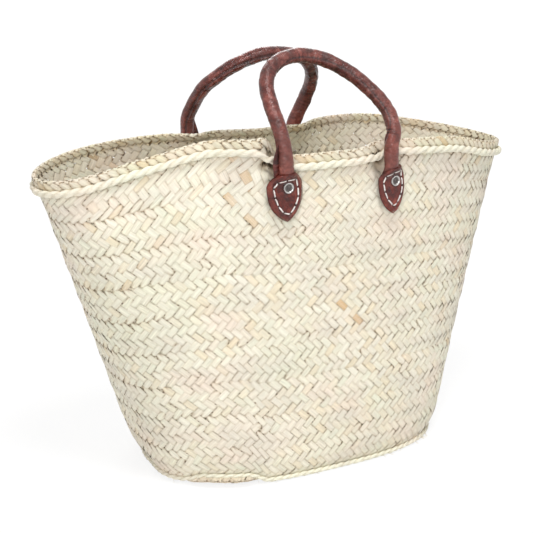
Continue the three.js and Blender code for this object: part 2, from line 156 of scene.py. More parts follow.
@dataclass(frozen=True)
class WallShape:
    """The basket's wall, from a rounded foot to a pointed oval mouth with a waved rim."""

    height: float = 340
    rim_half_length: float = 270
    rim_half_depth: float = 113
    rim_roundness: float = 2.05
    mouth_shift: float = -2.4
    base_half_length: float = 166
    base_half_depth: float = 114
    base_roundness: float = 2.95
    tuck: float = 8.5
    tuck_share: float = 0.1
    end_drop: float = 26
    side_tilt: float = 8
    foot_height: float = 1
    foot_end_rise: float = 2.5
    foot_lift: Wave = Wave(8, -158, -138, -98, -74)
    heel_out: float = 8
    heel_in: float = 7
    heel_share: float = 0.16
    front_heel_turn: float = 0.22
    back_heel_turn: float = -0.4
    heel_width: float = 0.3
    rounds: int = 9
    front_bow: Wave = Wave(27, -290, -187, -128, -84)
    front_lift: Wave = Wave(20.5, -260, -90, -76, -56)
    side_lift: Wave = Wave(7, 20, 80, 150, 230)
    back_bow: Wave = Wave(41, -280, 43, 1, 184, drop=12)
    bow_power: int = 3
    lift_power: int = 5
    dent_depth: float = 8
    dent_width: float = 17
    dent_power: float = 1.4
    front_leg_x: float = 61
    back_leg_x: float = 67
    search_steps: int = 12

    @staticmethod
    def oval(
        half_x: float, half_y: float, roundness: float, angle: np.ndarray
    ) -> tuple[np.ndarray, np.ndarray]:
        """Points of a superellipse.

        Args:
            half_x: Half its length.
            half_y: Half its depth.
            roundness: 2 for an ellipse, and more for a squarer outline.
            angle: Angle of each point, in radians.

        Returns:
            The points' x and y.
        """
        c, s = np.cos(angle), np.sin(angle)
        x = half_x * np.sign(c) * np.abs(c) ** (2 / roundness)
        y = half_y * np.sign(s) * np.abs(s) ** (2 / roundness)
        return x, y

    def foot(self, angle: np.ndarray, share: np.ndarray) -> tuple[np.ndarray, np.ndarray]:
        """The base's outline, turned in where the wall starts.

        Args:
            angle: Angle round the bag, in radians.
            share: 0 at the base and 1 at the rim.

        Returns:
            The outline's x and y.
        """
        x, y = self.oval(self.base_half_length, self.base_half_depth, self.base_roundness, angle)
        power = self.base_roundness - 1
        nx = np.sign(x) * np.abs(x / self.base_half_length) ** power / self.base_half_length
        ny = np.sign(y) * np.abs(y / self.base_half_depth) ** power / self.base_half_depth
        tuck = self.tuck * np.maximum(0, 1 - share / self.tuck_share) ** 2 / np.hypot(nx, ny)
        turn = (angle + math.pi / 2) % TAU - math.pi / 2
        front_heel = np.exp(-(((turn - math.pi - self.front_heel_turn) / self.heel_width) ** 2))
        back_heel = np.exp(-(((turn - math.pi - self.back_heel_turn) / self.heel_width) ** 2))
        low = np.maximum(0, 1 - share / self.heel_share) ** 1.5
        heel = (self.heel_out * front_heel - self.heel_in * back_heel) * low
        return x - tuck * nx - heel, y - tuck * ny

    def middle(self, angle: np.ndarray, share: np.ndarray, dented: bool = True) -> np.ndarray:
        """Middle of the wall's thickness.

        Args:
            angle: Angle round the bag.
            share: 0 at the base and 1 at the rim.
            dented: Whether the handle legs press into the top round.

        Returns:
            Points in millimetres.
        """
        angle, share = np.broadcast_arrays(np.asarray(angle, float), np.asarray(share, float))
        low_x, low_y = self.foot(angle, share)
        flat_x, _ = self.oval(self.base_half_length, self.base_half_depth, self.base_roundness, angle)
        high_x, high_y = self.oval(self.rim_half_length, self.rim_half_depth, self.rim_roundness, angle)
        along = high_x / self.rim_half_length
        front = np.sin(angle) < 0
        low_z = self.foot_height + self.foot_end_rise * (flat_x / self.base_half_length) ** 2
        low_z = low_z + self.foot_lift.swell(flat_x) * front
        high_z = self.height - self.end_drop * along**2 - self.side_tilt * along
        x = low_x + (high_x + self.mouth_shift - low_x) * share
        y = low_y + (high_y - low_y) * share
        z = low_z + (high_z - low_z) * share
        inward = np.where(front, 1.0, -1.0)
        bow = np.where(front, self.front_bow.swell(high_x), self.back_bow.swell(high_x))
        y = y + inward * bow * share**self.bow_power
        lift = self.front_lift.swell(high_x) + self.side_lift.swell(high_x)
        sunk = self.back_bow.drop * self.back_bow.at(high_x)
        z = z + np.where(front, lift * share**self.lift_power, -sunk * share**self.bow_power)
        if dented:
            leg_x = np.where(front, self.front_leg_x, self.back_leg_x)
            dent = np.exp(-(((np.abs(high_x) - leg_x) / self.dent_width) ** 2))
            in_top_round = np.maximum(0, share * self.rounds - (self.rounds - 1))
            y = y + inward * self.dent_depth * dent * in_top_round**self.dent_power
        return np.stack([x, y, z], -1)

    def axes(
        self, angle: np.ndarray, share: np.ndarray
    ) -> tuple[np.ndarray, np.ndarray, np.ndarray, np.ndarray]:
        """The wall's middle point, direction up the wall, outward normal and direction round the bag.

        Args:
            angle: Angle round the bag, in radians.
            share: 0 at the base and 1 at the rim.

        Returns:
            The points and the three sets of unit vectors.
        """
        step = 1e-3
        up = unit(self.middle(angle, share + step) - self.middle(angle, share - step))
        along = unit(self.middle(angle + step, share) - self.middle(angle - step, share))
        return self.middle(angle, share), up, unit(np.cross(along, up)), along

    def place(
        self, angle: np.ndarray, share: np.ndarray, outward: np.ndarray, upward: np.ndarray = 0.0
    ) -> np.ndarray:
        """A place out from the wall's middle and further up it.

        Args:
            angle: Angle round the bag, in radians.
            share: 0 at the base and 1 at the rim.
            outward: Distance out from the wall's middle.
            upward: Distance further up the wall.

        Returns:
            Points in millimetres.
        """
        origin, up, normal, _ = self.axes(angle, share)
        return origin + normal * np.asarray(outward)[..., None] + up * np.asarray(upward)[..., None]

    def find(self, x: np.ndarray, height: np.ndarray, front: bool) -> tuple[np.ndarray, np.ndarray]:
        """Angle and share of the wall's place with a given x and height.

        Args:
            x: Wanted place along the bag.
            height: Wanted height above the floor.
            front: Whether it lies on the front.

        Returns:
            The place's angle and share.
        """
        x, height = np.broadcast_arrays(np.asarray(x, float), np.asarray(height, float))
        angle = np.full_like(x, -math.pi / 2 if front else math.pi / 2)
        share = height / self.height
        for _ in range(self.search_steps):
            point = self.middle(angle, share)
            angle = angle + (x - point[..., 0]) / self.rim_half_length * (1 if front else -1)
            share = share + (height - point[..., 2]) / self.height
        return angle, share


WALL = WallShape()
POCKETS = (
    Pocket(x=-63, width=8, depth=13, share=0.998, height=0.034),
    Pocket(x=-75, width=9, depth=6.5, share=1.004, height=0.014),
    Pocket(x=58, width=8, depth=14, share=0.985, height=0.05),
)


# Mesh making


class Maker:
    """Turns bmeshes and arrays into finished objects in metres."""

    @staticmethod
    def points(mesh: bpy.types.Mesh) -> np.ndarray:
        """A mesh's points as an array.

        Args:
            mesh: The mesh to read.

        Returns:
            One row of x, y and z for each point.
        """
        flat = np.empty(len(mesh.vertices) * 3)
        mesh.vertices.foreach_get("co", flat)
        return flat.reshape(-1, 3)

    @staticmethod
    def grid(name: str, along: int, across: int) -> bpy.types.Mesh:
        """A flat grid over 0..1 by 0..1, ready to be bent into shape.

        Args:
            name: The mesh's name.
            along: Steps in x.
            across: Steps in y.

        Returns:
            The grid's mesh.
        """
        bm = bmesh.new()
        bmesh.ops.create_grid(bm, x_segments=along, y_segments=across, size=0.5)
        bmesh.ops.translate(bm, verts=bm.verts, vec=(0.5, 0.5, 0))
        mesh = bpy.data.meshes.new(name)
        bm.to_mesh(mesh)
        bm.free()
        return mesh

    @staticmethod
    def lens(name: str, along: int, across: int = 2) -> tuple[bpy.types.Mesh, np.ndarray]:
        """A flat strip, thicker along its middle and closed all round.

        Args:
            name: The mesh's name.
            along: Steps along the strip.
            across: Steps across it.

        Returns:
            The strip's mesh, and its points as share along, share across (-1 to 1) and side (-1, 0 or 1).
        """
        bm = bmesh.new()
        bmesh.ops.create_grid(bm, x_segments=along, y_segments=across, size=1)
        top = [v for v in bm.verts if not v.is_boundary]
        copy = bmesh.ops.duplicate(bm, geom=bm.verts[:] + bm.edges[:] + bm.faces[:])["geom"]
        under = [v for v in copy if isinstance(v, bmesh.types.BMVert) and not v.is_boundary]
        bmesh.ops.reverse_faces(bm, faces=[f for f in copy if isinstance(f, bmesh.types.BMFace)])
        bmesh.ops.translate(bm, verts=top, vec=(0, 0, 1))
        bmesh.ops.translate(bm, verts=under, vec=(0, 0, -1))
        bmesh.ops.remove_doubles(bm, verts=[v for v in bm.verts if v.is_boundary], dist=1e-5)
        mesh = bpy.data.meshes.new(name)
        bm.to_mesh(mesh)
        bm.free()
        points = Maker.points(mesh)
        points[:, 0] = (points[:, 0] + 1) / 2
        return mesh, points

    @staticmethod
    def gather(name: str, parts: list[bpy.types.Mesh]) -> bpy.types.Mesh:
        """One mesh of several, in their order; the parts themselves are dropped.

        Args:
            name: The new mesh's name.
            parts: The meshes to join; one may come several times.

        Returns:
            The joined mesh.
        """
        bm = bmesh.new()
        for part in parts:
            bm.from_mesh(part)
        mesh = bpy.data.meshes.new(name)
        bm.to_mesh(mesh)
        bm.free()
        for part in set(parts):
            bpy.data.meshes.remove(part)
        return mesh

    @staticmethod
    def shape(mesh: bpy.types.Mesh, points: np.ndarray) -> None:
        """Moves a mesh's points to an array in millimetres, as metres."""
        mesh.vertices.foreach_set("co", (np.asarray(points, float) * MM).ravel())
        mesh.update()

    @staticmethod
    def note(mesh: bpy.types.Mesh, name: str, values: np.ndarray) -> None:
        """Keeps a number or a vector on each point for the materials.

        Args:
            mesh: The mesh to write to.
            name: The attribute's name.
            values: One number, or one row of three, for each point.
        """
        kind, key = ("FLOAT_VECTOR", "vector") if np.ndim(values) == 2 else ("FLOAT", "value")
        layer = mesh.attributes.new(name, kind, "POINT")
        layer.data.foreach_set(key, np.asarray(values, np.float32).ravel())

    @staticmethod
    def weld(mesh: bpy.types.Mesh, distance: float) -> None:
        """Merges doubles and turns the faces outwards.

        Args:
            mesh: The mesh to finish.
            distance: Doubles closer than this many metres are merged.
        """
        bm = bmesh.new()
        bm.from_mesh(mesh)
        bmesh.ops.remove_doubles(bm, verts=bm.verts, dist=distance)
        bmesh.ops.recalc_face_normals(bm, faces=bm.faces)
        bm.to_mesh(mesh)
        bm.free()

    @staticmethod
    def piece(
        name: str,
        mesh: bpy.types.Mesh,
        material: bpy.types.Material,
        slot: str,
        stands_for: tuple[str, ...],
        body: str | None = "basket",
        sharp: float = 40,
    ) -> bpy.types.Object:
        """Makes the object of a finished mesh and hides the CAD nodes that it replaces.

        Args:
            name: The piece's name.
            mesh: Its finished mesh.
            material: Its finish.
            slot: The record's material slot; not used.
            stands_for: CAD nodes that it replaces.
            body: The body that it rides on, or None where it spans a joint and rides on no body.
            sharp: Edges that bend more than this many degrees stay sharp.

        Returns:
            The new object.
        """
        mesh.polygons.foreach_set("use_smooth", [True] * len(mesh.polygons))
        mesh.set_sharp_from_angle(angle=math.radians(sharp))
        mesh.materials.append(material)
        thing = bpy.data.objects.new(name, mesh)
        bpy.context.scene.collection.objects.link(thing)
        if stands_for:
            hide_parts(*stands_for)
        if body:
            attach(thing, body)
        log.info("%s: %d faces", name, len(mesh.polygons))
        return thing


# Finishes


def srgb(code: str) -> tuple[float, float, float, float]:
    """A colour code as linear light.

    Args:
        code: A hash sign and six hex digits.

    Returns:
        Red, green, blue and an alpha of 1.
    """
    channels = [int(code[i : i + 2], 16) / 255 for i in (1, 3, 5)]
    linear = [c / 12.92 if c <= 0.04045 else ((c + 0.055) / 1.055) ** 2.4 for c in channels]
    return (*linear, 1.0)


class NodeSheet:
    """The node tree of one material, and short ways to add to it."""

    def __init__(self, name: str) -> None:
        """Starts a material with one principled shader.

        Args:
            name: The material's name.
        """
        self.material = bpy.data.materials.new(name)
        self.material.use_nodes = True
        self.tree = self.material.node_tree
        self.shader = self.tree.nodes["Principled BSDF"]

    def add(self, kind: str, **settings: object) -> bpy.types.Node:
        """A new node with its settings.

        Args:
            kind: The node's type.
            **settings: Properties of the node and their values.

        Returns:
            The new node.
        """
        node = self.tree.nodes.new(kind)
        for name, value in settings.items():
            setattr(node, name, value)
        return node

    def feed(self, socket: bpy.types.NodeSocket, value: object) -> None:
        """Gives an input a link or a plain value.

        Args:
            socket: The input.
            value: An output to link, or the value itself.
        """
        if isinstance(value, bpy.types.NodeSocket):
            self.tree.links.new(value, socket)
        else:
            socket.default_value = value

    def spot(self) -> bpy.types.NodeSocket:
        """Object coordinates."""
        return self.add("ShaderNodeTexCoord").outputs["Object"]

    def kept(self, name: str, part: str = "Vector") -> bpy.types.NodeSocket:
        """A value that was kept on the mesh's points."""
        return self.add("ShaderNodeAttribute", attribute_name=name).outputs[part]

    def split(self, vector: bpy.types.NodeSocket) -> bpy.types.NodeOutputs:
        """A vector's three numbers.

        Args:
            vector: The vector.

        Returns:
            Its x, y and z outputs.
        """
        node = self.add("ShaderNodeSeparateXYZ")
        self.feed(node.inputs[0], vector)
        return node.outputs

    def stretch(
        self, vector: bpy.types.NodeSocket, scale: tuple[float, float, float]
    ) -> bpy.types.NodeSocket:
        """A vector with each axis scaled.

        Args:
            vector: The vector.
            scale: Factor of each axis.

        Returns:
            The new node's output.
        """
        node = self.add("ShaderNodeMapping")
        self.feed(node.inputs["Vector"], vector)
        node.inputs["Scale"].default_value = scale
        return node.outputs["Vector"]

    def size(self, vector: bpy.types.NodeSocket) -> bpy.types.NodeSocket:
        """A vector's length.

        Args:
            vector: The vector.

        Returns:
            The new node's output.
        """
        node = self.add("ShaderNodeVectorMath", operation="LENGTH")
        self.feed(node.inputs[0], vector)
        return node.outputs["Value"]

    def noise(
        self,
        vector: bpy.types.NodeSocket,
        scale: float,
        detail: float = 3,
        rough: float = 0.55,
        warp: float = 0.0,
    ) -> bpy.types.NodeSocket:
        """Soft random spots.

        Args:
            vector: Where the noise is read.
            scale: Spots in each unit of the vector.
            detail: Finer layers on top of the first.
            rough: Strength of each finer layer.
            warp: How far the spots are smeared.

        Returns:
            The new node's output.
        """
        node = self.add("ShaderNodeTexNoise")
        self.feed(node.inputs["Vector"], vector)
        node.inputs["Scale"].default_value = scale
        node.inputs["Detail"].default_value = detail
        node.inputs["Roughness"].default_value = rough
        node.inputs["Distortion"].default_value = warp
        return node.outputs["Fac"]

    def cells(self, vector: bpy.types.NodeSocket, scale: float, feature: str = "F1") -> bpy.types.NodeSocket:
        """Distances in a cell pattern, such as the grain of leather.

        Args:
            vector: Where the cells are read.
            scale: Cells in each unit of the vector.
            feature: Which distance is measured.

        Returns:
            The new node's output.
        """
        node = self.add("ShaderNodeTexVoronoi", feature=feature)
        self.feed(node.inputs["Vector"], vector)
        node.inputs["Scale"].default_value = scale
        return node.outputs["Distance"]

    def dice(self, value: bpy.types.NodeSocket) -> bpy.types.NodeSocket:
        """One random number for each different value.

        Args:
            value: The number that picks the random one.

        Returns:
            The new node's output.
        """
        node = self.add("ShaderNodeTexWhiteNoise", noise_dimensions="1D")
        self.feed(node.inputs["W"], value)
        return node.outputs["Value"]

    def sum(self, kind: str, a: object, b: object = 0.0, clamp: bool = False) -> bpy.types.NodeSocket:
        """One step of arithmetic.

        Args:
            kind: The operation.
            a: Its first value.
            b: Its second value.
            clamp: Whether the result is kept between 0 and 1.

        Returns:
            The new node's output.
        """
        node = self.add("ShaderNodeMath", operation=kind, use_clamp=clamp)
        self.feed(node.inputs[0], a)
        self.feed(node.inputs[1], b)
        return node.outputs[0]

    def span(
        self, value: object, low: float, high: float, to_low: float, to_high: float
    ) -> bpy.types.NodeSocket:
        """A value moved from one span to another.

        Args:
            value: The value.
            low: Where its old span starts.
            high: Where its old span ends.
            to_low: Where the new span starts.
            to_high: Where the new span ends.

        Returns:
            The new node's output.
        """
        node = self.add("ShaderNodeMapRange")
        for index, number in enumerate((value, low, high, to_low, to_high)):
            self.feed(node.inputs[index], number)
        return node.outputs[0]

    def ramp(self, value: object, stops: tuple[tuple[float, str], ...]) -> bpy.types.NodeSocket:
        """Colours along a value.

        Args:
            value: The value.
            stops: Places between 0 and 1, and their colour codes.

        Returns:
            The new node's output.
        """
        node = self.add("ShaderNodeValToRGB")
        self.feed(node.inputs[0], value)
        bar = node.color_ramp.elements
        while len(bar) < len(stops):
            bar.new(0.5)
        for element, (place, code) in zip(bar, stops):
            element.position = place
            element.color = srgb(code)
        return node.outputs[0]

    def blend(self, share: object, a: object, b: object, kind: str = "MIX") -> bpy.types.NodeSocket:
        """Two colours mixed.

        Args:
            share: Share of the second colour.
            a: The first colour.
            b: The second colour.
            kind: How the second is laid over the first.

        Returns:
            The new node's output.
        """
        node = self.add("ShaderNodeMix", data_type="RGBA", blend_type=kind)
        self.feed(node.inputs[0], share)
        self.feed(node.inputs[6], a)
        self.feed(node.inputs[7], b)
        return node.outputs[2]

    def bump(
        self, height: object, strength: float, depth: float, normal: object = None
    ) -> bpy.types.NodeSocket:
        """A surface raised by a height.

        Args:
            height: The height, as an output.
            strength: Share of the effect.
            depth: Height in metres that a value of 1 stands for.
            normal: An earlier bump that this one is added to.

        Returns:
            The new node's output.
        """
        node = self.add("ShaderNodeBump")
        node.inputs["Strength"].default_value = strength
        node.inputs["Distance"].default_value = depth
        self.feed(node.inputs["Height"], height)
        if normal is not None:
            self.feed(node.inputs["Normal"], normal)
        return node.outputs[0]


@dataclass(frozen=True)
class PalmFinish:
    """Dried palm leaf: strips of slightly different colour, streaked lengthwise, with tan dust and painted
    shade in the hollows and along the strips' edges, and dark painted shade in the deepest slits and
    pockets.
    """

    name: str
    tones: tuple[tuple[float, str], ...] = (
        (0.0, "#f3edd7"),
        (0.25, "#f7f3e1"),
        (0.5, "#f1e8d5"),
        (0.72, "#efeed9"),
        (0.93, "#f5ead0"),
        (0.992, "#f0e2c4"),
        (1.0, "#dcbb90"),
    )
    patches: tuple[str, str, str] = ("#e6e7d0", "#f3e0d1", "#e7e0d2")
    # Tan of the hollows, partly dust and partly painted shade, and the dark painted shade of the deepest
    # slits and pockets.
    hollow: str = "#a47c48"
    deep_shade: str = "#3f2b12"
    hollow_share: float = 0.62
    edge_share: float = 0.33
    edge_start: float = 0.8
    streak: float = 0.24
    streak_stretch: tuple[float, float, float] = (0.05, 3.2, 1.7)
    fine_stretch: tuple[float, float, float] = (0.12, 9.0, 1.7)
    patch_scale: float = 9.0
    patch_step: float = 4.0
    patch_share: float = 0.55
    roughness: float = 0.6
    roughness_spread: float = 0.1
    specular: float = 0.3
    relief: float = 0.0004

    def make(self) -> bpy.types.Material:
        """The finish as a material.

        Returns:
            The finished material.
        """
        sheet = NodeSheet(self.name)
        leaf = sheet.kept("leaf")
        number = sheet.split(leaf)[2]
        tone = sheet.ramp(sheet.dice(number), self.tones)
        streaks = sheet.noise(sheet.stretch(leaf, self.streak_stretch), 1.0, 4, 0.6)
        fine = sheet.noise(sheet.stretch(leaf, self.fine_stretch), 1.0, 3, 0.6)
        spot = sheet.spot()
        colour = tone
        for index, code in enumerate(self.patches):
            scale = self.patch_scale + self.patch_step * index
            patch = sheet.noise(sheet.stretch(spot, (1.0, 1.0, 1.6)), scale, 2, 0.5)
            colour = sheet.blend(sheet.span(patch, 0.5, 0.68, 0, self.patch_share), colour, srgb(code))
        threads = sheet.sum("ADD", sheet.sum("MULTIPLY", streaks, 0.45), sheet.sum("MULTIPLY", fine, 0.55))
        shade = sheet.span(threads, 0.36, 0.66, 1 - self.streak, 1.03)
        grey = sheet.ramp(shade, ((0.0, "#000000"), (1.0, "#ffffff")))
        colour = sheet.blend(1.0, colour, grey, "MULTIPLY")
        # Painted shade: towards tan, partly dust, in the hollows where strips dive under and along each
        # strip's edges, and towards the dark painted deep shade where they lie deepest.
        depth = sheet.kept("hollow", "Fac")
        if self.edge_share:
            side = sheet.sum("ABSOLUTE", sheet.split(leaf)[1])
            depth = sheet.sum("MAXIMUM", depth, sheet.span(side, self.edge_start, 1.0, 0.0, self.edge_share))
        tan = sheet.sum("MULTIPLY", sheet.sum("POWER", depth, 1.3), self.hollow_share)
        colour = sheet.blend(tan, colour, srgb(self.hollow))
        dark = sheet.span(depth, 0.75, 1.0, 0.0, 0.85)
        colour = sheet.blend(dark, colour, srgb(self.deep_shade))
        sheet.feed(sheet.shader.inputs["Base Color"], colour)
        smooth, rough = self.roughness - self.roughness_spread, self.roughness + self.roughness_spread
        sheet.feed(sheet.shader.inputs["Roughness"], sheet.span(fine, 0.3, 0.7, smooth, rough))
        sheet.shader.inputs["Specular IOR Level"].default_value = self.specular
        ribs = sheet.sum("ADD", streaks, fine)
        sheet.feed(sheet.shader.inputs["Normal"], sheet.bump(ribs, 0.35, self.relief))
        return sheet.material


@dataclass(frozen=True)
class LeatherFinish:
    """Waxed red-brown goatskin: mottled, wrinkled across its length, rubbed paler where it stands proud,
    paler with painted light towards a handle's ends, and darkened with painted shade in its wrinkles, folds
    and seams.
    """

    name: str
    dark: str = "#260b07"
    body: str = "#602219"
    pale: str = "#95564c"
    # Colour of the painted shade in folds, seams and holes.
    fold: str = "#1d0c0a"
    wear_and_light: float = 0.38
    roughness: float = 0.2
    specular: float = 0.45
    grain: float = 0.3
    wrinkles: tuple[float, float, float] = (0.2, 0.12, 1.0)
    rings: tuple[float, float, float] = (0.75, 0.11, 1.0)

    def make(self) -> bpy.types.Material:
        """The finish as a material.

        Returns:
            The finished material.
        """
        sheet = NodeSheet(self.name)
        spot = sheet.spot()
        hide = sheet.kept("hide")
        mottle = sheet.noise(spot, 90.0, 5, 0.62, 0.4)
        blot = sheet.noise(spot, 30.0, 3, 0.5)
        folds = sheet.noise(sheet.stretch(hide, self.wrinkles), 1.0, 4, 0.55, 0.5)
        colour = sheet.ramp(mottle, ((0.34, self.dark), (0.5, self.body), (0.67, self.pale)))
        colour = sheet.blend(sheet.span(blot, 0.44, 0.66, 0, 0.55), colour, srgb(self.dark))
        # Painted shade in the wrinkles' valleys.
        colour = sheet.blend(sheet.span(folds, 0.46, 0.34, 0, 0.5), colour, srgb(self.dark))
        # Paler where the leather is rubbed, and paler with painted light towards a handle's ends.
        worn_and_lit = sheet.kept("worn_and_lit", "Fac")
        colour = sheet.blend(sheet.sum("MULTIPLY", worn_and_lit, self.wear_and_light, True), colour, srgb(self.pale))
        # Painted shade in creases, seams, stitch holes, round the rivets, on the crown and beside the legs'
        # flaps, and a darker outline on the tabs.
        deep = sheet.kept("deep", "Fac")
        colour = sheet.blend(sheet.sum("MULTIPLY", deep, 0.9, True), colour, srgb(self.fold))
        sheet.feed(sheet.shader.inputs["Base Color"], colour)
        rough = sheet.span(blot, 0.35, 0.65, self.roughness - 0.06, self.roughness + 0.2)
        sheet.feed(sheet.shader.inputs["Roughness"], rough)
        sheet.shader.inputs["Specular IOR Level"].default_value = self.specular
        pores = sheet.cells(spot, 1100.0)
        creases = sheet.noise(spot, 260.0, 4, 0.6)
        pored = sheet.bump(pores, self.grain, 0.00025)
        rings = sheet.noise(sheet.stretch(hide, self.rings), 1.0, 3, 0.5, 0.6)
        ringed = sheet.bump(rings, 0.55, 0.0007, pored)
        creased = sheet.bump(creases, 0.55, 0.0008, ringed)
        sheet.feed(sheet.shader.inputs["Normal"], sheet.bump(folds, 0.8, 0.002, creased))
        return sheet.material


@dataclass(frozen=True)
class NickelFinish:
    """Nickel plate, a little dulled and scratched, with painted shade in a rivet's recess."""

    name: str
    colour: str = "#c2bfbc"
    tarnish: str = "#857f79"
    # Colour of the painted shade in a rivet's recess.
    recess: str = "#5c5654"
    roughness: float = 0.18
    scratches: tuple[float, float, float] = (300, 2600, 900)

    def make(self) -> bpy.types.Material:
        """The finish as a material.

        Returns:
            The finished material.
        """
        sheet = NodeSheet(self.name)
        spot = sheet.spot()
        smears = sheet.noise(spot, 420.0, 4, 0.6)
        colour = sheet.blend(sheet.span(smears, 0.4, 0.75, 0, 0.5), srgb(self.colour), srgb(self.tarnish))
        # Painted shade in the recess.
        colour = sheet.blend(sheet.kept("deep", "Fac"), colour, srgb(self.recess))
        sheet.feed(sheet.shader.inputs["Base Color"], colour)
        sheet.shader.inputs["Metallic"].default_value = 1.0
        rough = sheet.span(smears, 0.3, 0.7, self.roughness - 0.07, self.roughness + 0.16)
        sheet.feed(sheet.shader.inputs["Roughness"], rough)
        scratches = sheet.noise(sheet.stretch(spot, self.scratches), 1.0, 2)
        sheet.feed(sheet.shader.inputs["Normal"], sheet.bump(scratches, 0.12, 0.0001))
        return sheet.material


@dataclass(frozen=True)
class ThreadFinish:
    """Waxed thread or cotton rope, ribbed by its twist, with painted shade in the twist's grooves and a
    little dirt.
    """

    name: str
    colour: str = "#efe9e4"
    # Colour of the painted shade in the twist's grooves and of the dirt.
    shade: str = "#b9aba2"
    ribs: float = 1400.0
    roughness: float = 0.55

    def make(self) -> bpy.types.Material:
        """The finish as a material.

        Returns:
            The finished material.
        """
        sheet = NodeSheet(self.name)
        spot = sheet.spot()
        node = sheet.add("ShaderNodeTexWave", wave_type="BANDS", bands_direction="DIAGONAL")
        sheet.feed(node.inputs["Vector"], spot)
        node.inputs["Scale"].default_value = self.ribs
        node.inputs["Distortion"].default_value = 1.5
        ribs = node.outputs["Fac"]
        dirt = sheet.noise(spot, 300.0, 3)
        # Painted shade in the twist's grooves, then dirt.
        colour = sheet.blend(sheet.span(ribs, 0, 1, 0.35, 0), srgb(self.colour), srgb(self.shade))
        colour = sheet.blend(sheet.span(dirt, 0.5, 0.8, 0, 0.4), colour, srgb(self.shade))
        sheet.feed(sheet.shader.inputs["Base Color"], colour)
        sheet.shader.inputs["Roughness"].default_value = self.roughness
        sheet.feed(sheet.shader.inputs["Normal"], sheet.bump(ribs, 0.3, 0.0002))
        return sheet.material


# Plaited bands


class Course:
    """A closed band of the basket, on which a plait can be laid."""

    samples: int = 3072

    def gloom(self, placed: np.ndarray) -> np.ndarray:
        """How deep in shade each place lies; a plain band has no such places."""
        return np.zeros(placed.shape[:-1])

    def place(self, angle: np.ndarray, rise: np.ndarray, outward: np.ndarray) -> np.ndarray:
        """A place on the band, at a rise of 0 to 1 across it."""
        raise NotImplementedError

    def measure(self) -> None:
        """Measures the band's two edges, so that strips can be spaced evenly along both."""
        self.angles = np.linspace(0, TAU, self.samples + 1)
        self.travelled = []
        self.length = 0.0
        for rise in (0.0, 1.0):
            edge = self.place(self.angles, np.full(self.samples + 1, rise), np.zeros(self.samples + 1))
            walked = np.concatenate([[0], np.cumsum(np.linalg.norm(np.diff(edge, axis=0), axis=1))])
            self.travelled.append(walked / walked[-1])
            self.length += float(walked[-1]) / 2

    def lay(self, share: np.ndarray, rise: np.ndarray, outward: np.ndarray) -> np.ndarray:
        """A place on the band, at a share of its length."""
        low, high = (np.interp(share % 1.0, walked, self.angles) for walked in self.travelled)
        return self.place(low + (high - low) * rise, rise, outward)


class WallCourse(Course):
    """One round of the wall."""

    def __init__(self, index: int) -> None:
        """Measures round number index, counted from the foot."""
        self.index = index
        self.measure()

    def place(self, angle: np.ndarray, rise: np.ndarray, outward: np.ndarray) -> np.ndarray:
        """A place on the round, drawn in at the pockets beside the front handle's legs.

        Args:
            angle: Angle round the bag, in radians.
            rise: 0 to 1 across the band.
            outward: Distance out from the band's middle.

        Returns:
            Points in millimetres.
        """
        spot = WALL.place(angle, np.maximum(0, (self.index + rise) / WALL.rounds), outward)
        for pocket in POCKETS:
            spot[..., 1] += pocket.depth * self.inside(pocket, spot)
        return spot

    @staticmethod
    def inside(pocket: Pocket, spot: np.ndarray) -> np.ndarray:
        """Share of a pocket's depth at places of the front."""
        return np.where(spot[..., 1] < 0, pocket.at(spot[..., 0], spot[..., 2] / WALL.height), 0.0)

    def gloom(self, placed: np.ndarray) -> np.ndarray:
        """How deep in a pocket's shade each place lies."""
        return np.max([self.inside(pocket, placed) for pocket in POCKETS], axis=0)


class MatCourse(Course):
    """One oval round of the base mat, laid flat with its outer side down."""

    half_thickness: float = 1.9
    foot_inset: float = 2.3
    foot_rise: float = 1.2
    turn_start: float = 0.55
    bulge: float = 11
    # Painted shade on the mat where it shows under the lifted front edge.
    underside_shade: float = 0.5
    clear_of_floor: float = 0.3
    lowest: float = 0.05

    def __init__(self, inner: float, outer: float, turned_up: bool = False) -> None:
        """Measures the round between two distances from the base's outline.

        Args:
            inner: Inset of the inner edge.
            outer: Inset of the outer edge.
            turned_up: Whether the outer edge meets the foot of the wall.
        """
        self.inner = inner
        self.outer = outer
        self.turned_up = turned_up
        self.measure()

    def place(self, angle: np.ndarray, rise: np.ndarray, outward: np.ndarray) -> np.ndarray:
        """A place on the mat; its outer edge turns up to the foot of the wall.

        Args:
            angle: Angle round the bag, in radians.
            rise: 0 to 1 across the band.
            outward: Distance out from the band's middle.

        Returns:
            Points in millimetres.
        """
        rise = np.clip(rise, 0.0, 1.0) if self.turned_up else np.maximum(rise, 0.0)
        inset = self.inner + (self.outer - self.inner) * rise
        half_x = WALL.base_half_length - inset
        half_y = np.maximum(WALL.base_half_depth - inset, 1.0)
        x, y = WallShape.oval(half_x, half_y, WALL.base_roundness, angle)
        z = self.half_thickness - np.asarray(outward, float)
        if self.turned_up:
            foot = WALL.place(angle, np.zeros_like(x), np.full_like(x, -self.foot_inset))
            near = ease(self.turn_start, 1.0, rise)
            x = x + (foot[..., 0] - x) * near
            y = y + (foot[..., 1] - y) * near
            z = z + (foot[..., 2] + self.foot_rise - self.half_thickness) * near
            push = self.bulge * WALL.foot_lift.at(x) * np.sin(math.pi * near) * (y < 0)
            reach = np.hypot(x / half_x**2, y / half_y**2)
            x, y = x + push * x / half_x**2 / reach, y + push * y / half_y**2 / reach
        return np.stack([x, y, np.maximum(z, self.lowest)], -1)

    def gloom(self, placed: np.ndarray) -> np.ndarray:
        """How much painted shade the mat gets where it shows under the front edge."""
        shown = (placed[..., 1] < 0) * (placed[..., 2] > self.clear_of_floor) * self.turned_up
        return self.underside_shade * shown * WALL.foot_lift.at(placed[..., 0])


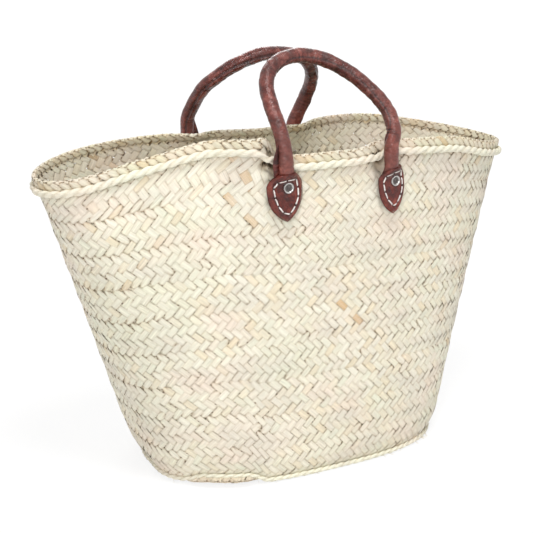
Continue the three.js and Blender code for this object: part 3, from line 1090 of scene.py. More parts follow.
class RimFold(Course):
    """A narrow plait folded over the wall's top edge, from the outside to the inside."""

    half: float = 2.4
    inner_half: float = 1.9
    shoulder: float = 5.8
    hem: float = -1.2
    hem_press: float = 1.1

    def __init__(self) -> None:
        """Measures the fold."""
        self.straight = self.shoulder - self.hem
        self.bend = math.pi * self.half
        self.across = 2 * self.straight + self.bend
        self.measure()

    def place(self, angle: np.ndarray, rise: np.ndarray, outward: np.ndarray) -> np.ndarray:
        """A place on the fold; rise 0 is the hem outside and rise 1 the hem inside.

        Args:
            angle: Angle round the bag, in radians.
            rise: 0 to 1 across the band.
            outward: Distance out from the band's middle.

        Returns:
            Points in millimetres.
        """
        way = np.asarray(rise, float) * self.across
        turn = np.clip((way - self.straight) / self.bend, 0, 1) * math.pi
        inside = np.clip((way - self.straight - self.bend) / self.straight, 0, 1)
        half = self.half + (self.inner_half - self.half) * ease(0.4, 1, turn / math.pi)
        reach = half - self.hem_press * inside + outward
        up = self.shoulder + (self.half + outward) * np.sin(turn)
        up = np.where(way < self.straight, self.hem + way, up)
        up = np.where(way > self.straight + self.bend, self.hem + self.across - way, up)
        return WALL.place(angle, np.ones_like(up), reach * np.cos(turn), up)


@dataclass(frozen=True)
class Plait:
    """A twill plait of palm strips, each over two and under two, whose rows run on into the next course."""

    pitch: float = 9.8
    rows: int = 4
    lift: float = 0.5
    leaf: float = 0.36
    cover: float = 0.985
    belly: float = 0.8
    uneven: float = 0.2
    tuck: float = 0.4
    dive: tuple[float, ...] = (0.13, 0.3, 1.0, 1.7, 1.87, 2.0)
    steepness: float = 5.0
    sink: float = 0.2
    jitter: float = 0.08
    width_spread: float = 0.045
    drift: float = 0.05
    tilt: float = 0.9
    mirrored: bool = False
    least_slit: float = 0.015
    slit_spread: float = 0.04
    seam_slits: float = 0.17
    end_slits: float = 1.3
    most_slits: float = 1.7
    rare_slits: float = 0.2
    rare_share: float = 0.06
    slit_reach: float = 0.42
    open_joints: tuple[int, ...] = ()
    gloom_share: float = 1.25

    def stations(self) -> np.ndarray:
        """Places along a strip where its mesh has points, close together where it dives under another.

        Returns:
            Distances along the strip, in strip widths across the course.
        """
        dive = np.array(self.dive)
        floats = [2 * k - 0.5 + dive for k in range(self.rows - 1)]
        last = 2 * self.rows - 2.5 + dive[:3]
        return np.concatenate([[-0.5 - self.tuck, -0.5], *floats, last, [2 * self.rows - 1.0]])

    def slits(self, rng: np.random.Generator, q: np.ndarray, start: np.ndarray, count: int) -> np.ndarray:
        """How much narrower the strips are where their floats meet, which opens dark slits there.

        Args:
            rng: Source of the strips' small differences.
            q: Distance along each strip.
            start: Where each strip starts along the course.
            count: Strips of each slant.

        Returns:
            The share of its width that each strip loses there.
        """
        joints = self.rows + 1
        share = start[:, 0] / (2 * count)
        amount = self.least_slit + self.slit_spread * rng.uniform(size=(len(start), joints))
        amount = amount + self.rare_slits * (rng.uniform(size=amount.shape) < self.rare_share)
        seed = int(rng.integers(1 << 30))
        left_end = np.exp(-(((np.abs(share - 0.5) - 0.02) / 0.09) ** 2))
        right_end = np.exp(-((np.minimum(share, 1 - share) / 0.07) ** 2))
        for joint in (0, joints - 1):
            place = ripple(seed + joint, 4, share, (3, 9))
            wish = 0.1 + 0.9 * place + self.end_slits * (left_end + right_end)
            amount[:, joint] += self.seam_slits * np.clip(wish, 0, self.most_slits)
        for joint in self.open_joints:
            amount[:, joint] += self.seam_slits * rng.uniform(0.4, 1.2, len(start))
        near = np.exp(-(((q[..., None] + 0.5 - 2 * np.arange(joints)) / self.slit_reach) ** 2))
        return (near * amount[:, None, :]).sum(-1)

    def weave(self, name: str, course: Course, count: int, seed: int) -> bpy.types.Mesh:
        """Plaits one course.

        Args:
            name: The mesh's name.
            course: The band that the plait lies on.
            count: Strips of each slant.
            seed: Number that fixes the strips' small differences.

        Returns:
            The plait's mesh, in metres.
        """
        span = 2 * self.rows
        strips = 2 * count
        scale = course.length / strips
        stations = self.stations()
        pattern, points = Maker.lens("strip", len(stations) - 1)
        mesh = Maker.gather(name, [pattern] * strips)

        rng = np.random.default_rng(seed)
        slant = np.where(np.arange(strips) < count, 1.0, -1.0)[:, None]
        start = 2.0 * (np.arange(strips) % count)[:, None] + rng.normal(0, self.jitter, (strips, 1))
        t, v, side = (points[None, :, k] for k in range(3))
        at = np.round(t * (len(stations) - 1)).astype(int)
        q = np.where(slant > 0, stations[at], span - 1 - stations[::-1][at])
        rows = np.arange(strips)[:, None]
        float_of = np.clip(np.floor((q + 0.5) / 2), 0, self.rows - 1).astype(int)
        lift, tilt, drift = (rng.normal(0, 1, (strips, self.rows))[rows, float_of] for _ in range(3))
        slits = self.slits(rng, q, start, count)
        width = self.cover * (1 + rng.normal(0, self.width_spread, (strips, 1))) - slits
        wave = np.cos(math.pi / 2 * (q - 0.5))
        over = np.tanh(self.steepness * wave) / np.tanh(self.steepness)
        across = 0.5 * v * width + self.drift * drift * np.abs(wave)
        x = start + across + slant * q
        z = (q - slant * across + 0.5) / span
        height = self.lift * slant * over
        height = height + np.abs(wave) * self.uneven * (lift + self.tilt * tilt * v)
        height = height + side * self.leaf / 2
        outward = height + self.belly * np.sin(math.pi * np.clip(z, 0, 1)) - self.sink
        placed = course.lay(-x / strips if self.mirrored else x / strips, z, outward)
        Maker.shape(mesh, placed.reshape(-1, 3))
        if self.mirrored:
            mesh.flip_normals()
        number = np.broadcast_to(rng.uniform(0, 90, (strips, 1)), q.shape)
        leaf = np.stack([q * scale, np.broadcast_to(v, q.shape), number], -1)
        Maker.note(mesh, "leaf", leaf.reshape(-1, 3))
        # Painted shade: darker where each strip dives under its neighbour and along its edges.
        sunk = 0.5 - 0.5 * over * slant
        at_edge = np.maximum(0.3, np.minimum(sunk, 1 - sunk))
        hollow = np.where(side > 0, sunk, np.where(side < 0, 1 - sunk, at_edge))
        # Painted shade in the slits where floats meet.
        hollow = np.maximum(hollow, (side == 0) * np.clip(7 * slits - 0.3, 0, 1))
        # Painted shade in the pockets beside the front legs and on the mat where it shows under the front
        # edge.
        hollow = np.maximum(hollow, self.gloom_share * course.gloom(placed))
        Maker.note(mesh, "hollow", np.clip(hollow, 0, 1).ravel())
        return mesh


@dataclass
class Basket:
    """The woven body: nine rounds of wall, three of base mat, and the plait folded over the rim."""

    palm: bpy.types.Material
    braid: bpy.types.Material
    mat_width: float = 37.3
    mat_eye: float = 1.5
    wall_counts: tuple[int, ...] = (102, 112, 122)
    wall_seed: int = 11
    mat_seed: int = 31
    fold_seed: int = 41

    def build(self) -> None:
        """Weaves every round and puts it in place of its solid."""
        wall = Plait()
        for index in range(WALL.rounds):
            name = f"wall_round_{index + 1}"
            count = self.wall_counts[index * len(self.wall_counts) // WALL.rounds]
            mesh = wall.weave(f"{name}_plait", WallCourse(index), count, self.wall_seed + index)
            Maker.piece(f"{name}_plait", mesh, self.palm, "palm_plait", (name,))
        mat = Plait(belly=0.3, seam_slits=0.0, rare_slits=0.05)
        width = self.mat_width
        courses = {
            "base_round_2": MatCourse(width, MatCourse.foot_inset, turned_up=True),
            "base_round_1": MatCourse(2 * width, width),
            "base_center": MatCourse(WALL.base_half_depth - self.mat_eye, 2 * width),
        }
        for index, (name, course) in enumerate(courses.items()):
            count = round(course.length / mat.pitch)
            mesh = mat.weave(f"{name}_plait", course, count, self.mat_seed + index)
            Maker.piece(f"{name}_plait", mesh, self.palm, "palm_plait", (name,))
        fold = Plait(
            pitch=9.6,
            rows=3,
            lift=0.34,
            leaf=0.34,
            belly=0.0,
            uneven=0.14,
            mirrored=True,
            seam_slits=0.2,
            open_joints=(1, 2),
        )
        course = RimFold()
        mesh = fold.weave("rim_braid_plait", course, round(course.length / fold.pitch), self.fold_seed)
        Maker.piece("rim_braid_plait", mesh, self.braid, "palm_braid", ("rim_braid",))


# Twisted cords


@dataclass(frozen=True)
class Dip:
    """A short stretch of the front where a handle's leg pulls the rope down."""

    x: float
    width: float
    drop: float

    def at(self, x: np.ndarray) -> np.ndarray:
        """How far the rope is pulled down at a place along the bag."""
        return self.drop * np.exp(-(((x - self.x) / self.width) ** 2))


@dataclass(frozen=True)
class TwistedCord:
    """A two-ply palm cord sewn round the basket."""

    name: str
    stands_for: str
    share: float
    rise: float
    clearance: float
    half_depth: float
    half_height: float
    lay: float
    finish: bpy.types.Material
    seed: int
    steps_per_lay: int = 22
    sides: int = 14
    samples: int = 3072
    spread_out: float = 0.24
    spread_up: float = 0.3
    unevenness: float = 0.06
    groove_depth: float = 0.03
    leaf_number: float = 7.3
    lowest: float = 0.1
    drawn_in: float = 0.0
    dips: tuple[Dip, ...] = ()
    fibres: int = 0
    fibre_lengths: tuple[float, float] = (6, 13)
    fibre_half_width: float = 0.4

    def build(self) -> bpy.types.Object:
        """Twists both plies into one mesh.

        Returns:
            The cord's object.
        """
        angles = np.linspace(0, TAU, self.samples + 1)
        line = WALL.place(angles, np.full_like(angles, self.share), np.full_like(angles, self.clearance))
        travelled = np.concatenate([[0], np.cumsum(np.linalg.norm(np.diff(line, axis=0), axis=1))])
        length = travelled[-1]
        turns = round(length / self.lay)
        steps = turns * self.steps_per_lay
        bm = bmesh.new()
        places, leaves, hollows = [], [], []
        for ply in range(2):
            grid = Maker.grid("ply", steps, self.sides)
            bm.from_mesh(grid)
            flat = Maker.points(grid)
            bpy.data.meshes.remove(grid)
            s, around = flat[:, 0], flat[:, 1] * TAU
            wobble = ripple(self.seed + ply, 3, s * length, (0.012, 0.05))
            turn = TAU * turns * s + math.pi * ply + 0.25 * np.sin(TAU * s * 9 + ply)
            grooves = np.cos(5 * around - 2 * turn) + 0.6 * np.cos(9 * around - 3 * turn + 2)
            girth = 1 + self.unevenness * wobble + self.groove_depth * grooves
            deep, tall = self.half_depth, self.half_height
            ply_deep, ply_tall = 1 - self.spread_out, 1 - self.spread_up
            out = self.spread_out * deep * np.cos(turn) + ply_deep * deep * girth * np.cos(around)
            up = self.spread_up * tall * np.sin(turn) + ply_tall * tall * girth * np.sin(around)
            angle = np.interp(s * length, travelled, angles)
            away = self.clearance - self.drawn_in * np.cos(angle) ** 2 + out
            rise = self.rise + up
            level = WALL.place(angle, np.full_like(s, self.share), away)
            for dip in self.dips:
                rise = rise - dip.at(level[:, 0]) * (level[:, 1] < 0)
            place = WALL.place(angle, np.full_like(s, self.share), away, rise)
            place[:, 2] = np.maximum(place[:, 2], self.lowest)
            places.append(place)
            number = np.full_like(s, self.leaf_number)
            leaves.append(np.stack([s * length * 0.8, around * 1.4 + turn, number], -1))
            # Painted shade between the two plies and in the grooves of their twist.
            from_middle = np.hypot(out / deep, up / tall)
            hollows.append(np.clip(1.5 * (0.92 - from_middle) + 0.1 * (0.5 - 0.5 * grooves), 0, 1))
        for place in self.stray(bm):
            places.append(place)
            number = np.full(len(place), self.leaf_number)
            leaves.append(np.stack([place[:, 2], place[:, 0], number], -1))
            hollows.append(np.full(len(place), 0.45))
        mesh = bpy.data.meshes.new(self.name)
        bm.to_mesh(mesh)
        bm.free()
        Maker.shape(mesh, np.concatenate(places))
        Maker.note(mesh, "leaf", np.concatenate(leaves))
        Maker.note(mesh, "hollow", np.concatenate(hollows))
        Maker.weld(mesh, 1e-6)
        return Maker.piece(self.name, mesh, self.finish, "palm_cord", (self.stands_for,), sharp=75)

    def stray(self, bm: bmesh.types.BMesh) -> list[np.ndarray]:
        """Adds a few frayed fibres that stick out of the cord.

        Args:
            bm: The cord's mesh so far.

        Returns:
            The points of each fibre, in the order in which they were added.
        """
        rng = np.random.default_rng(self.seed + 50)
        places = []
        for _ in range(self.fibres):
            fibre, points = Maker.lens("fibre", 7)
            bm.from_mesh(fibre)
            bpy.data.meshes.remove(fibre)
            t, across, side = points.T
            angle = -math.pi / 2 + rng.normal(0, 0.35) if rng.uniform() < 0.5 else rng.uniform(0, TAU)
            length = rng.uniform(*self.fibre_lengths)
            lean, curl = rng.normal(0, 0.6), rng.normal(0, 0.5)
            out = self.half_depth * 0.8 + length * t * math.cos(lean) * 0.6
            up = length * (rng.normal(-0.1, 0.35) * t + curl * t**2)
            way = angle + lean * length * t / 250
            thin = self.fibre_half_width * (1 - t) ** 0.6
            rise = self.rise + up + thin * across
            place = WALL.place(way, np.full_like(t, self.share), self.clearance + out, rise)
            place[:, 2] = np.maximum(place[:, 2] + 0.15 * side * (1 - t), 0.2 + 0.05 * side)
            places.append(place)
        return places


# Handle tabs


@dataclass(frozen=True)
class TabFrame:
    """Where one leg's leather tab lies on the wall, and its outline.

    Places on it are given as u across, v down and w outward. The corners are those of its stitching.
    """

    leg: Leg
    x: float
    top_drop: float
    half_width: float
    turn: float
    leg_across: float
    length: float = 50.5
    shoulder_height: float = 13
    straight: float = 17
    leather: float = 2.2
    plateau: float = 3.4
    mouth_swell: float = 7.4
    mouth_width: float = 13
    face: float = 3.0
    rivet_across: float = 3.2
    rivet_drop: float = 15.5
    top_width: float = 9.6
    lean: float = 0.25
    corners: tuple[tuple[float, float], ...] = (
        (12.0, 7.6), (13.6, 18.0), (12.8, 27.0), (8.6, 35.5), (0.8, 44.2),
        (-7.0, 37.5), (-11.4, 26.5), (-12.8, 15.0), (-11.8, 8.4), (0.0, 7.4),
    )

    def bare(self, x: np.ndarray, height: np.ndarray) -> np.ndarray:
        """The wall's middle without the leg's dent."""
        angle, share = WALL.find(x, height, self.leg.front)
        return WALL.middle(angle, share, dented=False)

    def directions(self) -> tuple[np.ndarray, np.ndarray, np.ndarray, np.ndarray]:
        """The tab's top point, and its directions across, down and outward.

        Returns:
            The top point and three unit vectors.
        """
        front = self.leg.front
        angle, _ = WALL.find(self.x, WALL.height, front)
        top_height = float(WALL.middle(angle, 1.0)[..., 2]) - self.top_drop
        top = self.bare(self.x, top_height)
        down = unit(self.bare(self.x, top_height - self.length) - top)
        angle, share = WALL.find(self.x, top_height - self.length / 2, front)
        level = WALL.axes(angle, share)[3]
        across = unit(level - down * np.dot(level, down))
        outward = -unit(np.cross(across, down))
        turn = Matrix.Rotation(math.radians(self.turn), 3, Vector(outward))
        return top, np.array(turn @ Vector(across)), np.array(turn @ Vector(down)), outward

    def at(self, u: np.ndarray, v: np.ndarray, w: np.ndarray, straight: bool = False) -> np.ndarray:
        """A place on the tab.

        Args:
            u: Distance across, from the tab's middle.
            v: Distance below the tab's top edge.
            w: Height above the bare wall's middle.
            straight: Whether the wall's curve across the tab is left out, as it is for the handle's leg.

        Returns:
            Points in millimetres.
        """
        u, v, w = np.broadcast_arrays(*(np.asarray(k, float) for k in (u, v, w)))
        top, across, down, outward = self.directions()
        low = np.maximum(0, v)
        if straight:
            u = u + self.leg_across
        from_u = np.full_like(u, self.leg_across) if straight else u
        foot = top + across * from_u[..., None] + down * low[..., None]
        rise = (self.bare(foot[..., 0], foot[..., 2]) - foot) @ outward
        flat = top + across * u[..., None] + down * v[..., None]
        return flat + outward * (w + rise)[..., None]

    def half_at(self, v: np.ndarray, side: np.ndarray = 0.0) -> np.ndarray:
        """Half the shield's width.

        Args:
            v: Distance below the tab's top edge.
            side: -1 on the left, where the shoulder is cut wider, and 1 on the right.

        Returns:
            Half the width in millimetres.
        """
        down = np.clip(v / self.shoulder_height, 0, 1)
        cut = (self.half_width - self.top_width) * (1 - np.sin(math.pi / 2 * down))
        top = self.half_width - cut * (1 - self.lean * side)
        share = np.clip((v - self.straight) / (self.length - self.straight), 0, 1)
        return np.where(v < self.shoulder_height, top, self.half_width * (1 - share**2.4) ** 0.8)

    def stitch_line(self, count: int) -> np.ndarray:
        """Places of the stitching, evenly round its corners, from the top right one down the right side.

        Args:
            count: How many places.

        Returns:
            Their u and v.
        """
        line = np.array(self.corners + self.corners[:1], float)
        walked = np.concatenate([[0], np.cumsum(np.linalg.norm(np.diff(line, axis=0), axis=1))])
        wanted = np.linspace(0, walked[-1], count, endpoint=False)
        return np.stack([np.interp(wanted, walked, line[:, k]) for k in range(2)], -1)


TABS = {
    Leg.FRONT_LEFT: TabFrame(
        Leg.FRONT_LEFT, x=-61.5, top_drop=8.5, half_width=19.3, turn=5, leg_across=2, lean=0.18
    ),
    Leg.FRONT_RIGHT: TabFrame(
        Leg.FRONT_RIGHT, x=63, top_drop=18, half_width=16.8, turn=5, leg_across=-2, lean=0.3,
        corners=(
            (9.6, 4.6), (12.2, 17.1), (11.1, 27.6), (6.6, 36.0), (0.2, 43.6),
            (-7.8, 33.0), (-11.8, 22.0), (-12.2, 13.3), (-12.0, 8.5), (-0.6, 6.0),
        ),
    ),
    Leg.BACK_LEFT: TabFrame(Leg.BACK_LEFT, x=-67, top_drop=13.5, half_width=19, turn=-3, leg_across=0),
    Leg.BACK_RIGHT: TabFrame(Leg.BACK_RIGHT, x=67, top_drop=13.5, half_width=19, turn=-3, leg_across=0),
}


@dataclass
class HandleTab:
    """One stitched and riveted leather shield."""

    place: TabFrame
    leather: bpy.types.Material
    thread: bpy.types.Material
    nickel: bpy.types.Material
    columns: int = 56
    rows: int = 80
    edge_slope: float = 2.6
    edge_roll: float = 1.1
    roll_inset: float = 3.6
    roll_width: float = 2.0
    dimple: float = 0.9
    dimple_width: float = 7.5
    dash: float = 7.6
    skip: float = 1.6
    dash_steps: int = 8
    groove: float = 1.1
    groove_width: float = 1.15
    thread_half_width: float = 0.72
    thread_half_height: float = 0.7
    thread_lift: float = 0.35
    rivet_lift: float = 0.55
    cap_inset: float = 0.7
    recess_radius: float = 3.9
    head_profile: tuple[tuple[float, float], ...] = (
        (0.0, 0.5),
        (0.9, 0.45),
        (1.4, 0.1),
        (2.4, 0.05),
        (3.5, 0.15),
        (4.0, 0.75),
        (4.4, 1.1),
        (4.8, 1.2),
        (5.3, 0.95),
        (5.65, 0.3),
        (5.5, -0.2),
        (4.6, -1.3),
        (2.2, -1.3),
        (2.2, -8.0),
        (0.0, -8.0),
    )
    cap_profile: tuple[tuple[float, float], ...] = (
        (0.0, 0.9),
        (1.8, 0.8),
        (2.6, 0.6),
        (3.0, 0.2),
        (3.0, 0.0),
        (0.0, 0.0),
    )

    def margin(self, u: np.ndarray, v: np.ndarray) -> np.ndarray:
        """Distance in from the shield's edge, about.

        Args:
            u: Distance across, from the tab's middle.
            v: Distance below its top edge.

        Returns:
            The distance in millimetres, 0 outside.
        """
        side = self.place.half_at(v, np.sign(u)) - np.abs(u)
        tip = (self.place.length - v) * 0.8
        return np.clip(np.minimum(side, tip), 0, None)

    def from_stitches(self, u: np.ndarray, v: np.ndarray) -> np.ndarray:
        """Distance to the stitching line.

        Args:
            u: Distance across, from the tab's middle.
            v: Distance below its top edge.

        Returns:
            The distance in millimetres.
        """
        line = self.place.stitch_line(160)
        gap = np.hypot(u[..., None] - line[:, 0], v[..., None] - line[:, 1])
        return gap.min(-1)

    def height(self, u: np.ndarray, v: np.ndarray) -> np.ndarray:
        """Height of the shield's outer face above the wall.

        Args:
            u: Distance across, from the tab's middle.
            v: Distance below its top edge.

        Returns:
            Heights in millimetres.
        """
        p = self.place
        margin = self.margin(u, v)
        puff = p.plateau * (1 - np.exp(-((margin / self.edge_slope) ** 1.3)))
        roll = np.exp(-(((margin - self.roll_inset) / self.roll_width) ** 2))
        puff = puff + self.edge_roll * roll * ease(3, 12, v)
        mouth = p.mouth_swell * np.exp(-(((u - p.leg_across) / p.mouth_width) ** 4)) * (1 - ease(0, 13, v))
        groove = self.groove * np.exp(-((self.from_stitches(u, v) / self.groove_width) ** 2))
        rivet = np.hypot(u - p.rivet_across, v - p.rivet_drop)
        dimple = self.dimple * np.exp(-((rivet / self.dimple_width) ** 2))
        return p.face + p.leather + puff + mouth * ease(0, 4, margin + 2) - groove - dimple

    def build(self) -> None:
        """Builds the shield, its stitches and its rivet."""
        self.shield()
        self.stitches()
        self.rivet()

    def shield(self) -> None:
        """The leather shield, padded in the middle and pulled in along its stitches."""
        p = self.place
        name = f"{p.leg.value}_tab"
        mesh = Maker.grid(f"{name}_leather", self.columns, self.rows)
        flat = Maker.points(mesh)
        spread = 2 * flat[:, 0] - 1
        spread = np.sign(spread) * (1 - (1 - np.abs(spread)) ** 1.25)
        v = p.length * (1 - (1 - flat[:, 1]) ** 1.15)
        half = np.maximum(p.half_at(v, np.sign(spread)), 0.35)
        u = spread * half
        height = self.height(u, v)
        edge = self.margin(u, v)
        Maker.shape(mesh, p.at(u, v, height))
        Maker.note(mesh, "hide", np.stack([u, v, np.full_like(u, 3.0 * p.half_width)], -1))
        # Paler in a band just inside the outline.
        Maker.note(mesh, "worn_and_lit", np.clip(1 - np.abs(edge - 2.4) / 2.4, 0, 1) * 0.6)
        line = p.stitch_line(self.dash_count() * self.dash_steps)
        ends = line.reshape(self.dash_count(), self.dash_steps, 2)[:, -1]
        hole = np.hypot(u[:, None] - ends[:, 0], v[:, None] - ends[:, 1]).min(1)
        rivet = np.hypot(u - p.rivet_across, v - p.rivet_drop)
        # Painted shade in the stitch holes, in a ring round the rivet and along the stitch groove, and a
        # darker outline.
        deep = np.clip(1 - hole / 1.5, 0, 1) + 0.6 * np.exp(-(((rivet - 5.9) / 1.1) ** 2))
        deep = deep + 0.4 * np.exp(-((self.from_stitches(u, v) / 1.3) ** 2)) + 0.7 * (edge < 0.5)
        Maker.note(mesh, "deep", np.clip(deep, 0, 1))
        bm = bmesh.new()
        bm.from_mesh(mesh)
        outward = Vector(p.directions()[3])
        if sum(face.normal.dot(outward) for face in bm.faces) < 0:
            bmesh.ops.reverse_faces(bm, faces=bm.faces[:])
        bmesh.ops.solidify(bm, geom=bm.faces[:], thickness=p.leather * MM)
        bmesh.ops.recalc_face_normals(bm, faces=bm.faces[:])
        bm.to_mesh(mesh)
        bm.free()
        Maker.piece(f"{name}_leather", mesh, self.leather, "handle_leather", (name,), sharp=50)

    def dash_count(self) -> int:
        """Stitches round the shield.

        Returns:
            Their number.
        """
        line = self.place.stitch_line(400)
        length = np.linalg.norm(np.diff(line, axis=0), axis=1).sum()
        return round(length / (self.dash + self.skip))

    def stitches(self) -> None:
        """Thick waxed dashes that lie in the groove."""
        p = self.place
        count, steps = self.dash_count(), self.dash_steps
        line = p.stitch_line(count * steps)
        bm = bmesh.new()
        bmesh.ops.create_uvsphere(bm, u_segments=10, v_segments=8, radius=1)
        bmesh.ops.rotate(bm, verts=bm.verts, cent=(0, 0, 0), matrix=Matrix.Rotation(math.pi / 2, 3, "Y"))
        bead = bpy.data.meshes.new("bead")
        bm.to_mesh(bead)
        bm.clear()
        shape = Maker.points(bead)
        reach = np.abs(shape[:, 0])
        ball = np.maximum(np.sqrt(np.clip(1 - reach**2, 1e-9, 1)), 1e-4)
        swell = np.where(reach > 0.999, 0, np.sqrt(np.clip(1 - reach**6, 0, 1)) / ball)
        places = []
        for k in range(count):
            bm.from_mesh(bead)
            a = line[k * steps]
            b = line[(k * steps + steps - 1) % len(line)]
            middle, half = (a + b) / 2, (b - a) / 2
            way = half / np.linalg.norm(half)
            side = np.array([-way[1], way[0]])
            wide = (shape[:, 1] * swell * self.thread_half_width)[:, None]
            flat = middle + shape[:, :1] * half + wide * side
            lift = self.height(flat[:, 0], flat[:, 1]) + self.thread_lift - 0.8 * reach**4
            places.append(p.at(flat[:, 0], flat[:, 1], lift + shape[:, 2] * swell * self.thread_half_height))
        mesh = bpy.data.meshes.new(f"{p.leg.value}_stitches")
        bm.to_mesh(mesh)
        bm.free()
        bpy.data.meshes.remove(bead)
        Maker.shape(mesh, np.concatenate(places))
        Maker.weld(mesh, 1e-7)
        Maker.piece(mesh.name, mesh, self.thread, "waxed_thread", (f"{p.leg.value}_stitching",), sharp=80)

    def turned(
        self,
        name: str,
        profile: tuple[tuple[float, float], ...],
        seat: np.ndarray,
        axes: np.ndarray,
        recessed: bool = False,
    ) -> None:
        """A turned nickel piece in place of a CAD node.

        Args:
            name: The CAD node that it stands for.
            profile: Radius and height of its outline.
            seat: Its place.
            axes: Its two cross directions and its axis.
            recessed: Whether its middle is a recess darkened with painted shade.
        """
        bm = bmesh.new()
        verts = [bm.verts.new((r, 0, h)) for r, h in profile]
        edges = [bm.edges.new(pair) for pair in zip(verts, verts[1:])]
        bmesh.ops.spin(
            bm, geom=verts + edges, cent=(0, 0, 0), axis=(0, 0, 1), angle=TAU, steps=40, use_merge=True
        )
        bmesh.ops.remove_doubles(bm, verts=bm.verts, dist=1e-4)
        bmesh.ops.recalc_face_normals(bm, faces=bm.faces[:])
        mesh = bpy.data.meshes.new(f"{name}_turned")
        bm.to_mesh(mesh)
        bm.free()
        local = Maker.points(mesh)
        radius = np.hypot(local[:, 0], local[:, 1])
        # Painted shade in the recess of a rivet's head.
        Maker.note(mesh, "deep", np.clip((self.recess_radius - radius) / 0.5, 0, 1) * recessed)
        Maker.shape(mesh, seat + local @ axes)
        Maker.weld(mesh, 1e-7)
        Maker.piece(mesh.name, mesh, self.nickel, "nickel", (name,), sharp=35)

    def rivet(self) -> None:
        """A nickel rivet with a rolled rim and a sunk middle, and its flat cap inside the bag."""
        p = self.place
        _, across, down, outward = p.directions()
        u, v = np.array([p.rivet_across]), np.array([p.rivet_drop])
        seat = p.at(u, v, self.height(u, v) + self.rivet_lift)[0]
        head_axes = np.stack([across, -down, outward])
        self.turned(f"{p.leg.value}_rivet", self.head_profile, seat, head_axes, recessed=True)
        middle = p.at(u, v, 0.0)
        angle, share = WALL.find(middle[:, 0], middle[:, 2], p.leg.front)
        _, up, normal, along = (value[0] for value in WALL.axes(angle, share))
        inner = WALL.place(angle, share, np.array([-self.cap_inset]))[0]
        cap_axes = np.stack([along, -up, -normal])
        self.turned(f"{p.leg.value}_rivet_cap", self.cap_profile, inner, cap_axes)


# Handles


@dataclass(frozen=True)
class Seam:
    """The lapped edge of a rolled sleeve: its angle round the handle, its swing at the crown, its size."""

    angle: float
    swing: float
    size: float


@dataclass(frozen=True)
class SpareEdge:
    """The spare edge of the hide, which stands out as a narrow flap beside a handle's left leg."""

    foot_drop: float = 6
    length: float = 36
    inset: float = 5.2
    root_width: float = 2.0
    width: float = 7.0
    sway: float = 1.4
    lift: float = 7.2
    wave: float = 1.2
    rise: float = 3.4
    half_thickness: float = 0.7
    hide_number: float = 17.0

    def build(self, tab: TabFrame) -> tuple[bpy.types.Mesh, np.ndarray, np.ndarray, np.ndarray]:
        """Builds the flap.

        Args:
            tab: The leg's tab.

        Returns:
            The flap's mesh, its points, its places on the hide and how much painted shade each gets, most
            beside the leg.
        """
        mesh, points = Maker.lens("flap", 28, 6)
        t, across, side = points.T
        v = self.foot_drop - self.length * t
        wide = self.width * (1 - t) ** 0.7 * ease(-0.05, 0.16, t)
        u = -self.inset - (1 + across) / 2 * (self.root_width + wide) - self.sway * np.sin(2.4 * t)
        lift = self.lift + self.wave * (1 + across) / 2 * np.sin(9 * t) + self.rise * t
        lift = lift + side * self.half_thickness * (1 - 0.5 * np.abs(across))
        place = tab.at(u, v, lift, straight=True)
        hide = np.stack([v, u, np.full_like(u, self.hide_number)], -1)
        # Painted shade, darkest beside the leg.
        return mesh, place, hide, np.clip(0.55 - 0.5 * (1 + across) / 2, 0, 1)


